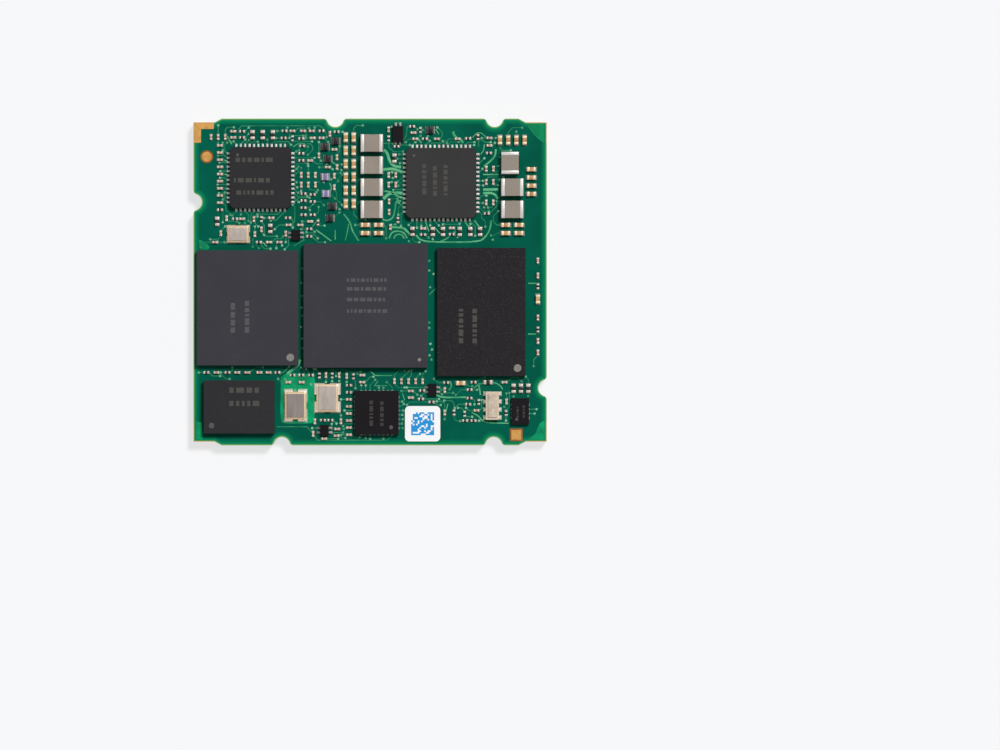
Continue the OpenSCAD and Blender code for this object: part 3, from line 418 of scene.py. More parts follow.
# Blocks with rounded edges, one for each box
def blocks(boxes, radius, segments=2, shrink=0.0):
    bm = bmesh.new()
    for low, high in boxes:
        low, high = low + shrink, high - shrink
        made = bmesh.ops.create_cube(bm, size=1)["verts"]
        for v in made:
            v.co = [low[i] + (v.co[i] + 0.5) * (high[i] - low[i]) for i in range(3)]
    bmesh.ops.bevel(bm, geom=bm.edges[:], offset=radius, segments=segments, profile=0.5, affect="EDGES")
    return bm


# A node's own solid with rounded edges, drawn in towards its top by a moulding draft
solidShape = {"weld": 1e-4, "flat": math.radians(1), "sharp": math.radians(40), "faceUp": 0.9}


def softened(node, radius, segments=2, draft=0.0):
    bm = bmesh.new()
    bm.from_mesh(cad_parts[node].data)
    bmesh.ops.scale(bm, vec=(1 / mm,) * 3, verts=bm.verts)
    bmesh.ops.remove_doubles(bm, verts=bm.verts, dist=solidShape["weld"])
    bmesh.ops.dissolve_limit(bm, angle_limit=solidShape["flat"], verts=bm.verts, edges=bm.edges)
    low = np.min([v.co for v in bm.verts], axis=0)
    high = np.max([v.co for v in bm.verts], axis=0)
    centre = (low + high) / 2
    for v in bm.verts:
        rise = (v.co.z - low[2]) / (high[2] - low[2])
        for i in range(2):
            v.co[i] -= draft * rise * (v.co[i] - centre[i]) / (high[i] - centre[i])
    bmesh.ops.recalc_face_normals(bm, faces=bm.faces)
    sharp = [e for e in bm.edges if e.is_convex and e.calc_face_angle(0) > solidShape["sharp"]]
    bmesh.ops.bevel(bm, geom=sharp, offset=radius, segments=segments, profile=0.5, affect="EDGES",
                    clamp_overlap=True)
    bmesh.ops.dissolve_degenerate(bm, dist=solidShape["weld"], edges=bm.edges)
    bm.normal_update()
    sides = [f for f in bm.faces if len(f.verts) > 4 and f.normal.z < solidShape["faceUp"]]
    bmesh.ops.triangulate(bm, faces=sides)  # upper faces stay whole, so that they shade evenly
    return bm


# A solid between a grid of points and the flat it stands on
def addSkirted(bm, rows, floorZ):
    tops = [[bm.verts.new(p) for p in row] for row in rows]
    feet = [[bm.verts.new((x, y, floorZ)) for x, y, _ in row] for row in rows]
    for i in range(len(rows) - 1):
        for j in range(len(rows[0]) - 1):
            for grid in (tops, feet):
                bm.faces.new((grid[i][j], grid[i + 1][j], grid[i + 1][j + 1], grid[i][j + 1]))
    rims = [grid[0] + [row[-1] for row in grid[1:-1]] + grid[-1][::-1] + [row[0] for row in grid[-2:0:-1]]
            for grid in (tops, feet)]
    for k in range(len(rims[0])):
        bm.faces.new((rims[0][k - 1], rims[0][k], rims[1][k], rims[1][k - 1]))


# Solder that runs from the end of a part down to the board, drawn in and sunk at its two sides
filletShape = {"rows": 4, "columns": (-1.0, -0.72, 0.0, 0.72, 1.0), "lap": 0.02, "lip": 0.012, "hollow": 1.9,
               "drawn": 0.22, "sunk": 0.4, "waist": 0.9, "flare": 0.14,
               "reach": 0.3, "least": 0.1, "rise": 0.62, "spread": 1.06}


def addFillet(bm, foot, out, width, reach, height, floorZ, up):
    shape = filletShape
    across = np.array([-out[1], out[0]])
    rows = []
    for i in range(shape["rows"] + 1):
        t = i / shape["rows"]
        row = []
        for v in shape["columns"]:
            edge = v ** 4
            far = reach * (t * (1 - shape["drawn"] * edge)) - shape["lap"]
            side = width / 2 * v * (shape["waist"] + shape["flare"] * t)
            rise = shape["lip"] + height * (1 - t) ** shape["hollow"] * (1 - shape["sunk"] * edge)
            spot = foot + out * far + across * side
            row.append((spot[0], spot[1], floorZ + up * rise))
        rows.append(row)
    addSkirted(bm, rows, floorZ)


# A closed solid through rings of points, which all have the same number of them
def addSkin(bm, rings):
    rings = [[bm.verts.new(p) for p in ring] for ring in rings]
    for lower, upper in zip(rings, rings[1:]):
        for k in range(len(lower)):
            n = (k + 1) % len(lower)
            bm.faces.new((lower[k], lower[n], upper[n], upper[k]))
    bm.faces.new(rings[0][::-1])
    bm.faces.new(rings[-1])


def circle(centre, radius, sides):
    turns = [2 * math.pi * k / sides for k in range(sides)]
    return [(centre[0] + radius * math.cos(t), centre[1] + radius * math.sin(t)) for t in turns]


def rectangle(x, y, wide, tall):
    return [(x - wide / 2, y - tall / 2), (x + wide / 2, y - tall / 2),
            (x + wide / 2, y + tall / 2), (x - wide / 2, y + tall / 2)]


def addTurned(bm, centre, profile, radius, low, rise, sides):  # the profile has shares of radius and rise
    addSkin(bm, [[(*p, low + rise * high) for p in circle(centre, radius * wide, sides)]
                 for wide, high in profile])


def addSlab(bm, outline, low, high):
    addSkin(bm, [[(*p, height) for p in outline] for height in (low, high)])


# Board, bare pads and package laminates keep their solids and take new finishes
def dress(finish, *nodes):
    for node in nodes:
        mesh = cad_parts[node].data
        mesh.materials.clear()
        mesh.materials.append(finishes[finish])


dress("mask", "board")
dress("gold", "corner_plating", "alignment_marks")
dress("laminate", "processor_substrate", "memory_substrate", "storage_substrate", "flash_substrate")
dress("pottery", "clock_base")
dress("paper", "code_label", "under_label")
print("solids dressed")


# Ball grid chips: moulded caps, and barrels of solder under them
capShape = {"edge": 0.022, "segments": 3, "ballEnd": 0.62, "ballLevels": 4, "ballSides": 12}
caps = {"processor_cap": "grey", "storage_cap": "grey", "memory_cap": "black", "flash_cap": "charcoal"}
for node, finish in caps.items():
    slot = "moulding" if finish == "grey" else "dark_moulding"
    addPiece(node + "_top", softened(node, capShape["edge"], capShape["segments"]), finish, slot, [node])
shares = [k / capShape["ballLevels"] for k in range(capShape["ballLevels"] + 1)]
barrel = [(capShape["ballEnd"] + (1 - capShape["ballEnd"]) * math.sin(math.pi * s), s) for s in shares]
for node in ("processor_balls", "memory_balls", "storage_balls", "flash_balls"):
    balls = bmesh.new()
    for low, high in islands(node):
        wide, _, tall = high - low
        addTurned(balls, middle((low, high)), barrel, wide / 2, low[2], tall, capShape["ballSides"])
    addPiece(node + "_joints", balls, "solder", "solder", [node], weighted=False)
print("ball grid chips done")


# Solder joints, and what they leave on each face: covered areas, and tips from which a track can start
joints = {"top": bmesh.new(), "under": bmesh.new()}
footprints = {"top": [], "under": []}
landings = {"top": [], "under": []}
faces = {"top": (zTop, 1), "under": (zUnder, -1)}


def sideOf(node):
    return "under" if node.startswith("under") else "top"


def addJoint(side, low, high, away, spread, reach, rise):
    axis = int(abs(away[1]) > abs(away[0]))
    out = np.zeros(2)
    out[axis] = np.sign(away[axis])
    size = high - low
    foot = middle((low, high))[:2] + out * size[axis] / 2
    addFillet(joints[side], foot, out, size[1 - axis] * spread, reach, rise, *faces[side])
    tip = foot + out * reach
    footprints[side].append((np.minimum(low[:2], tip), np.maximum(high[:2], tip)))
    landings[side].append((tip, out))


# Leadframe chips: two bodies with a moulding draft, square small ones, and leads in solder
leadframe = {"draft": 0.06, "inset": 0.006, "edge": 0.02, "blockEdge": 0.03, "leadEdge": 0.03,
             "paddleNear": 0.2, "solderSpread": 1.1, "solderRise": 0.1}
for node, finish in {"network_chip": "charcoal", "power_chip": "smoke"}.items():
    body = softened(node, leadframe["edge"], 2, leadframe["draft"])
    addPiece(node + "_body", body, finish, "moulding", [node])
for node in ("interface_chip", "identity_chip", "logic_chips", "under_logic_chips"):
    body = blocks(islands(node), leadframe["blockEdge"], 2, leadframe["inset"])
    addPiece(node + "_body", body, "jet", "dark_moulding", [node])

leadNodes = {  # chip, finish and how far the solder reaches
    "network_leads": ("network_chip", "tin", 0.09),
    "power_leads": ("power_chip", "tin", 0.09),
    # the small chips' leads take tin darkened as painted shade
    "interface_leads": ("interface_chip", "dullTin", 0.07),
    "identity_leads": ("identity_chip", "dullTin", 0.07),
    "logic_leads": ("logic_chips", "dullTin", 0.12),
    "under_logic_leads": ("under_logic_chips", "dullTin", 0.12),
}
for node, (carrier, finish, reach) in leadNodes.items():
    leads, bodies = islands(node), islands(carrier)
    addPiece(node + "_metal", blocks(leads, leadframe["leadEdge"]), finish, "tin", [node])
    for low, high in leads:
        home = closest(bodies, middle((low, high)))
        away = (middle((low, high)) - middle(home)) / (home[1] - home[0])
        if abs(away[:2]).max() >= leadframe["paddleNear"]:  # not the paddle under the chip
            addJoint(sideOf(node), low, high, away, leadframe["solderSpread"], reach, leadframe["solderRise"])
print("leadframe chips done")


# Chip parts: ceramic bodies, rounded metal ends and the solder that holds them
chipKinds = {  # first part of the nodes' names, finishes of bodies and ends, edge, slot, other name endings
    # the capacitors' ends take tin tinted cream as a painted warm reflection
    "capacitor": ("capacitor", "tan", "cream", 0.05, "capacitor_ceramic"),
    "smallCapacitor": ("small_capacitor", "blush", "silverEnd", 0.035, "capacitor_ceramic"),
    "resistor": ("resistor", "glaze", "silverEnd", 0.04, "resistor_film"),
    "smallResistor": ("small_resistor", "glaze", "silverEnd", 0.03, "resistor_film"),
    "bead": ("ferrite_bead", "bead", "beadEnd", 0.06, "resistor_film", "s"),
    "filter": ("filter_chip", "violet", "violetEnd", 0.05, "filter_ceramic", "s"),
    "coil": ("inductor", "ferrite", "coilEnd", 0.07, "ferrite", "_cores", "_terminals", 0.08),
    "underCapacitor": ("under_capacitor", "tan", "cream", 0.05, "capacitor_ceramic"),
    "underSmallCapacitor": ("under_small_capacitor", "blush", "cream", 0.035, "capacitor_ceramic"),
    "underResistor": ("under_resistor", "glaze", "silverEnd", 0.03, "resistor_film"),
}


def addEnds(kind, start, bodyFinish, endFinish, edge, slot, bodyTail="_bodies", endTail="_ends",
            most=filletShape["reach"]):
    bodyNode, endNode = start + bodyTail, start + endTail
    bodies, ends, side = islands(bodyNode), islands(endNode), sideOf(bodyNode)
    addPiece(kind + "Body", blocks(bodies, edge / 2), bodyFinish, slot, [bodyNode])
    addPiece(kind + "Ends", blocks(ends, edge, 3), endFinish, "tin", [endNode])
    for low, high in ends:
        centre, tall = middle((low, high)), high[2] - low[2]
        away = centre - middle(closest(bodies, centre))
        reach = min(most, max(filletShape["least"], filletShape["reach"] * tall))
        addJoint(side, low, high, away, filletShape["spread"], reach, filletShape["rise"] * tall)
    footprints[side] += [(low[:2], high[:2]) for low, high in bodies]


for kind, parts in chipKinds.items():
    addEnds(kind, *parts)
print("chip parts done:", len(landings["top"]), "joints on top,", len(landings["under"]), "under")


# Crystals and clock module: metal lids on a bright seal, pads in solder
clockShape = {"lidEdge": 0.05, "sealWide": 0.07, "sealTall": 0.04, "sealEdge": 0.015, "padEdge": 0.03,
              "rimEdge": 0.18, "rimSteps": 5, "cornerCut": 0.2, "cornerPoints": 6, "solderRise": 0.34,
              "solderLap": 0.14, "solderGrid": 10, "solderEnds": 0.35}


# A mound of solder on a pad: high against the part, falling to the pad's outer edges
def addPillow(bm, low, high, home):
    size = high - low
    before, after = home[0] - low, high - home[1]

    def rise(axis, t):
        near = [size[axis] * s / (past[axis] + clockShape["solderLap"])
                for s, past in ((t, before), (1 - t, after)) if past[axis] > 0]
        near = min(near or [min(t, 1 - t) / clockShape["solderEnds"]])
        return 1 - (1 - min(1.0, near)) ** 2

    shares = np.linspace(0, 1, clockShape["solderGrid"])
    rows = [[(low[0] + size[0] * s, low[1] + size[1] * t,
              high[2] + clockShape["solderRise"] * rise(0, s) * rise(1, t)) for t in shares] for s in shares]
    addSkirted(bm, rows, zTop)


# A slab whose upper edge is rounded over
def addDomed(bm, outline, low, high, edge, steps):
    spots = np.array(outline)
    along = np.roll(spots, -1, axis=0) - spots
    along /= np.linalg.norm(along, axis=1)[:, None]
    outward = np.stack([along[:, 1], -along[:, 0]], axis=1)
    before = np.roll(outward, 1, axis=0)
    inward = -(before + outward) / (1 + np.sum(before * outward, axis=1))[:, None]
    turns = [math.pi / 2 * k / (steps - 1) for k in range(steps)]
    levels = [(0.0, low)] + [(edge * (1 - math.cos(t)), high - edge * (1 - math.sin(t))) for t in turns]
    addSkin(bm, [[(*p, z) for p in spots + inward * inset] for inset, z in levels])


def openCorners(low, high, radius):  # a rectangle with a quarter circle out of each corner
    outline = []
    (left, front), (right, back) = low[:2], high[:2]
    for k, (x, y) in enumerate(((left, front), (right, front), (right, back), (left, back))):
        for turn in np.linspace(90 + 90 * k, 90 * k, clockShape["cornerPoints"]):
            angle = math.radians(turn)
            outline.append((x + radius * math.cos(angle), y + radius * math.sin(angle)))
    return outline


def addLids(name, boxes, finish, node):
    addPiece(name, blocks(boxes, clockShape["lidEdge"], 3), finish, "lid", [node])


rims = bmesh.new()
for low, high in islands("crystal_bases"):
    outline = openCorners(low, high, clockShape["cornerCut"])
    addDomed(rims, outline, low[2], high[2], clockShape["rimEdge"], clockShape["rimSteps"])
addPiece("crystal_rims", rims, "amber", "package_ceramic", ["crystal_bases"], weighted=False)
lids = islands("crystal_lids")
fromFront = sorted(lids, key=lambda box: box[0][1])
addLids("low_crystal_lid", fromFront[:1], "lid", "crystal_lids")
addLids("other_crystal_lids", fromFront[1:], "paleLid", "crystal_lids")
addLids("clock_lid_plate", islands("clock_lid"), "clockLid", "clock_lid")
rim = np.array([clockShape["sealWide"], clockShape["sealWide"], 0])
seals = [(low - rim, np.array([*(high + rim)[:2], low[2] + clockShape["sealTall"]])) for low, high in lids]
addPiece("crystal_seals", blocks(seals, clockShape["sealEdge"]), "seal", "lid")
pillows = bmesh.new()
for node, carrier in {"crystal_pads": "crystal_bases", "clock_pads": "clock_base"}.items():
    pads, bodies = islands(node), islands(carrier)
    addPiece(node + "_metal", blocks(pads, clockShape["padEdge"]), "coilEnd", "tin", [node])
    for low, high in pads:
        addPillow(pillows, low, high, closest(bodies, middle((low, high))))
addPiece("clock_solder", pillows, "pillow", "solder", weighted=False)
keptFree = {  # what else covers each face
    "top": ("crystal_bases", "crystal_pads", "clock_base", "clock_pads", "code_label", "network_chip",
            "power_chip", "interface_chip", "identity_chip", "logic_chips", "corner_plating",
            "alignment_marks", *caps),
    "under": ("carrier_pads", "under_label", "under_logic_chips", "corner_plating", "alignment_marks"),
}
for side, nodes in keptFree.items():
    boxes = [box for node in nodes for box in islands(node)]
    footprints[side] += [(low[:2], high[:2]) for low, high in boxes
                         if (high[2] > zTop if side == "top" else low[2] < zUnder)]
print("clock parts done")


# Carrier pads: low domes of tin
padShape = {"sides": 20, "dome": [(1.0, -0.015), (0.86, 0.0), (0.5, 0.024), (0.15, 0.03)]}
domes = bmesh.new()
for low, high in islands("carrier_pads"):
    wide, _, tall = high - low
    profile = [(1.0, -tall)] + padShape["dome"]
    addTurned(domes, middle((low, high)), profile, wide / 2, low[2], -1, padShape["sides"])
addPiece("carrier_pad_domes", domes, "carrier", "tin", ["carrier_pads"], weighted=False)

for side, bm in joints.items():
    addPiece(side + "_solder_joints", bm, "solder", "solder", weighted=False)
print("solder done")


# Tracks and vias: a free map of each face, on which a track wanders from every joint that has room
tracking = {
    "cell": 0.05, "gap": 0.05, "edgeGap": 0.6, "notchGap": 0.5, "seed": 11, "share": 0.92,
    "width": 0.1, "rise": 0.022, "crest": 0.62, "mitre": 0.5, "pourRise": 0.0176, "leave": 0.28,
    "back": 0.08, "reach": (0.3, 2.4), "step": (0.32, 0.9), "firstTurns": [90.0, -90.0],
    "turns": (0.0, 0.0, 45.0, -45.0, 45.0, -45.0), "via": 0.14, "viaRise": 0.0275, "viaSides": 12,
    "viaProfile": [(1.0, 0.0), (0.9, 1.0), (0.55, 1.0), (0.4, 0.35), (0.12, 0.3)],
}
quietZones = [
    ((0, 0), (2.7, 13.2)), ((0, 0), (40, 0.75)), ((35.4, 9.4), (40, 14.6)), ((37.4, 0), (40, 9.6)),
    ((24.2, 34.3), (40, 37)), ((38.9, 14), (40, 37)), ((0, 34.9), (13.4, 37)), ((20.5, 0), (36.5, 0.9)),
]


# A low ridge of copper along a line of points
def addTrack(bm, line, width, low, rise):
    spots = [np.array(p, float) for p in line]
    section = ((-1, 0), (-tracking["crest"], rise), (tracking["crest"], rise), (1, 0))
    sections = []
    for i, spot in enumerate(spots):
        before = spots[i] - spots[i - 1] if i else spots[1] - spots[0]
        after = spots[i + 1] - spots[i] if i < len(spots) - 1 else before
        before, after = before / np.linalg.norm(before), after / np.linalg.norm(after)
        along = before + after
        along = along / np.linalg.norm(along)
        across = np.array([-along[1], along[0]]) * width / 2 / max(tracking["mitre"], float(along @ after))
        sections.append([(*(spot + across * s), low + z) for s, z in section])
    addSkin(bm, sections)


def rounded(line, passes=2):  # corners cut into curves
    for _ in range(passes):
        cut = [line[0]]
        for a, b in zip(line, line[1:]):
            a, b = np.array(a, float), np.array(b, float)
            cut += [tuple(0.75 * a + 0.25 * b), tuple(0.25 * a + 0.75 * b)]
        line = cut + [line[-1]]
    return line


# Cells of a face of the board that are taken
class FreeMap:
    def __init__(self, boxes):
        self.cell = tracking["cell"]
        self.busy = np.zeros((int(2 * halfWide / self.cell), int(2 * halfLong / self.cell)), bool)
        for low, high in boxes:
            self.block(low, high, tracking["gap"] + tracking["width"] / 2)
        for zone in quietZones:
            low, high = corners(*zone)
            self.block(np.minimum(low, high), np.maximum(low, high), 0.0)
        for spot in maskTone["notches"]:
            centre = np.array(fromCorner(*spot))
            self.block(centre, centre, maskTone["notchRadius"] + tracking["notchGap"])
        edge = int(tracking["edgeGap"] / self.cell)
        self.busy[:edge] = self.busy[-edge:] = True
        self.busy[:, :edge] = self.busy[:, -edge:] = True

    def spot(self, p):
        return int((p[0] + halfWide) / self.cell), int((p[1] + halfLong) / self.cell)

    def block(self, low, high, margin):
        a = self.spot((low[0] - margin, low[1] - margin))
        b = self.spot((high[0] + margin, high[1] + margin))
        self.busy[max(a[0], 0):b[0] + 1, max(a[1], 0):b[1] + 1] = True

    def open(self, a, b, skip=0.0):
        length = np.linalg.norm(b - a)
        for s in np.arange(skip, length + 1e-6, self.cell):
            i, j = self.spot(a + (b - a) * (s / length))
            if not (0 <= i < self.busy.shape[0] and 0 <= j < self.busy.shape[1]) or self.busy[i, j]:
                return False
        return True

    def lay(self, line, width):
        for a, b in zip(line, line[1:]):
            a, b = np.array(a, float), np.array(b, float)
            steps = max(1, int(np.linalg.norm(b - a) / self.cell))
            for k in range(steps + 1):
                p = a + (b - a) * k / steps
                self.block(p, p, width / 2 + tracking["gap"] + tracking["width"] / 2)


def wander(chart, start, out, rng):
    heading = math.atan2(out[1], out[0])
    line, total = [start - out * tracking["back"]], 0.0
    goal = rng.uniform(*tracking["reach"])
    skip = tracking["leave"]
    while total < goal:
        turns = rng.sample(tracking["turns"], len(tracking["turns"]))
        for turn in turns if total else turns + tracking["firstTurns"]:
            angle = heading + math.radians(turn)
            length = rng.uniform(*tracking["step"])
            tip = line[-1] + length * np.array([math.cos(angle), math.sin(angle)])
            if chart.open(line[-1], tip, skip):
                break
        else:
            break
        line.append(tip)
        heading, skip = angle, 0.0
        total += length
    return line


def addVia(bm, spot, level, up):
    addTurned(bm, spot, tracking["viaProfile"], tracking["via"], level, up * tracking["viaRise"],
              tracking["viaSides"])


def addTracks(side, handLaid, vias, pours):
    rng = random.Random(tracking["seed"] + len(side))
    chart = FreeMap(footprints[side])
    level, up = faces[side]
    looks = {"tracks": "trace" if up > 0 else "oliveTrace", "thick_tracks": "paleTrace", "vias": "via",
             "pours": "pour"}
    made = {kind: bmesh.new() for kind in looks}

    def addHole(spot):
        addVia(made["vias"], spot, level, up)
        chart.block(spot, spot, tracking["via"] + tracking["gap"])

    for width, pale, line in handLaid:
        addTrack(made["thick_tracks" if pale else "tracks"], line, width, level, up * tracking["rise"])
        chart.lay(line, width)
    for spot in vias:
        addHole(spot)
    for outline in pours:
        addSlab(made["pours"], outline, level, level + up * tracking["pourRise"])
    count = 0
    for tip, out in landings[side]:
        line = wander(chart, tip, out, rng) if rng.random() <= tracking["share"] else []
        if len(line) > 1:
            chart.lay(line[1:] if len(line) > 2 else line, tracking["width"])
            addTrack(made["tracks"], line, tracking["width"], level, up * tracking["rise"])
            addHole(line[-1])
            count += 1
    for kind, bm in made.items():
        addPiece(side + "_" + kind, bm, looks[kind], "board", weighted=False)
    print(side, "tracks:", count, "wandering,", len(handLaid), "laid by hand")


# Width of each track and its places, right and down from the board's upper left corner
paleCurves = [
    (0.3, (21.56, 3.53), (21.95, 3.87), (22.15, 4.69), (22.6, 5.37), (23.5, 5.5)),
    (0.3, (21.4, 5.78), (22.6, 5.65), (23.26, 5.92), (23.65, 6.06)),
    (0.34, (21.5, 9.1), (22.1, 8.5), (23.0, 8.38), (23.65, 8.45)),
    (0.2, (21.6, 8.2), (22.3, 8.3), (23.3, 8.9), (23.65, 8.95)),
    (0.16, (23.5, 9.34), (22.93, 9.27), (22.8, 10.4), (22.6, 11.25), (21.95, 11.6), (21.4, 11.4)),
    (0.24, (22.28, 12.28), (23.78, 12.35), (24.17, 12.76), (24.56, 13.17)),
    (0.16, (22.15, 13.58), (22.47, 12.8), (23.26, 12.72), (23.9, 12.96), (24.17, 13.58)),
    (0.14, (22.67, 13.58), (22.93, 13.1), (23.58, 13.1), (23.85, 13.58)),
    (0.18, (25.2, 13.17), (25.6, 13.72), (26.8, 13.99), (32.28, 13.99), (33.06, 13.44),
     (33.6, 12.49), (33.7, 11.53)),
    (0.12, (28.0, 13.9), (28.9, 13.5), (29.2, 12.9)),
    (0.2, (34.24, 3.46), (34.17, 4.28), (33.45, 4.96), (32.87, 5.44)),
    (0.12, (32.93, 2.91), (32.87, 3.59), (32.54, 4.0)),
    (0.1, (31.6, 2.16), (32.0, 1.68), (32.5, 1.54), (33.06, 2.02), (33.3, 2.3)),
    (0.26, (32.8, 8.45), (33.98, 8.4), (34.5, 9.07)),
    (0.26, (29.42, 1.45), (29.45, 1.8), (29.75, 2.15), (30.3, 2.36), (30.5, 2.77)),
    (0.12, (11.3, 3.2), (11.9, 2.75), (12.6, 2.85)), (0.14, (15.4, 7.3), (15.7, 7.9), (15.2, 8.6)),
    (0.16, (17.0, 10.8), (17.8, 11.8), (17.9, 12.6), (18.7, 13.85)),
    (0.18, (27.5, 31.3), (28.2, 31.6), (30.84, 31.55)),
    (0.14, (29.0, 29.7), (29.27, 30.25), (28.9, 30.8)),
    (0.13, (31.75, 30.5), (32.4, 29.98), (34.1, 29.84), (34.76, 30.25), (35.0, 30.66)),
    (0.13, (31.5, 33.26), (32.28, 33.67), (32.87, 34.45), (35.7, 34.5)),
    (0.3, (10.6, 28.9), (11.8, 28.0), (12.1, 27.3)),
]
paleLines = [
    (0.16, (32.8, 6.33), (34.6, 6.33)), (0.3, (32.8, 8.05), (34.5, 8.0)),
    (0.14, (27.4, 1.2), (27.8, 1.75)), (0.16, (25.35, 2.09), (25.8, 2.77)),
    (0.12, (26.26, 11.67), (26.66, 12.76)), (0.12, (27.3, 12.35), (28.1, 13.17)),
    (0.12, (30.7, 11.67), (31.2, 12.28)), (0.18, (31.8, 11.53), (32.4, 12.35)),
    (0.2, (3.8, 2.0), (4.34, 2.9)), (0.12, (3.5, 4.69), (4.1, 4.96)), (0.12, (3.5, 6.3), (4.1, 6.4)),
    (0.12, (3.5, 7.9), (4.1, 8.0)), (0.12, (15.7, 4.9), (16.4, 5.4)),
    (0.16, (13.88, 12.6), (15.58, 13.85)), (0.12, (16.04, 12.6), (16.04, 13.7)),
    (0.12, (17.6, 11.9), (17.2, 13.8)), (0.12, (14.2, 11.3), (13.5, 12.2)),
    (0.12, (7.87, 14.0), (8.3, 14.5)), (0.14, (37.9, 18.65), (38.8, 18.65)),
    (0.16, (37.9, 24.4), (38.8, 24.4)), (0.12, (20.0, 28.6), (20.6, 29.1), (22.5, 29.1)),
    (0.1, (20.9, 29.7), (20.5, 30.25), (21.95, 30.25)), (0.12, (23.65, 31.08), (23.9, 31.9)),
    (0.16, (32.28, 29.98), (32.5, 31.3)), (0.12, (28.8, 32.3), (28.6, 33.2)),
    (0.12, (26.7, 19.93), (27.5, 19.17)),
]
thinLines = [
    (0.12, *rounded([(24.2, 0.85), (24.1, 2.0), (23.78, 2.43)])), (0.1, (32.28, 2.1), (32.28, 3.2)),
    (0.1, (5.06, 1.27), (5.45, 0.82), (14.3, 0.82), (14.8, 1.2)), (0.14, (12.57, 13.7), (11.4, 14.4)),
    (0.1, (9.44, 34.9), (12.84, 34.9), (13.6, 35.7), (14.0, 36.42), (21.9, 36.42), (22.9, 35.5)),
]
topTracks = [(width, True, rounded(corners(*points))) for width, *points in paleCurves]
topTracks += [(width, True, corners(*points)) for width, *points in paleLines]
topTracks += [(width, False, corners(*points)) for width, *points in thinLines]
topVias = corners(
    (26.7, 16.1), (26.7, 17.2), (26.8, 19.1), (26.7, 23.1), (26.7, 23.7), (26.85, 25.5), (27.0, 26.15),
    (26.75, 26.8), (26.95, 27.3), (27.2, 17.6), (12.3, 17.0), (12.25, 18.6), (12.3, 20.1), (12.25, 21.4),
    (12.3, 22.3), (12.2, 23.6), (12.3, 24.9), (12.35, 26.0), (33.9, 13.7), (29.9, 13.4), (24.4, 13.9),
)
topPours = [
    corners((37.8, 0.62), (39.7, 0.62), (39.7, 2.7), (39.3, 2.5), (38.6, 1.9), (37.9, 1.0)),
    corners((37.9, 36.3), (38.7, 35.7), (39.2, 34.5), (39.75, 34.2), (39.75, 36.35), (37.9, 36.35)),
    corners((0.25, 34.3), (0.95, 34.4), (1.05, 36.3), (0.25, 36.35)),
    rounded(corners((0.6, 13.7), (1.0, 13.8), (1.9, 14.5), (1.6, 14.9), (0.7, 14.8))),
    rounded(corners((9.9, 29.3), (10.6, 28.75), (13.4, 28.95), (13.85, 29.5), (13.75, 34.3), (13.3, 34.55),
                    (10.2, 34.55), (9.8, 34.2), (9.9, 29.3)))[:-1],
]


def mirrored(*points):  # places seen from below, right and down from its upper left corner
    return [(halfWide - x, halfLong - y) for x, y in points]


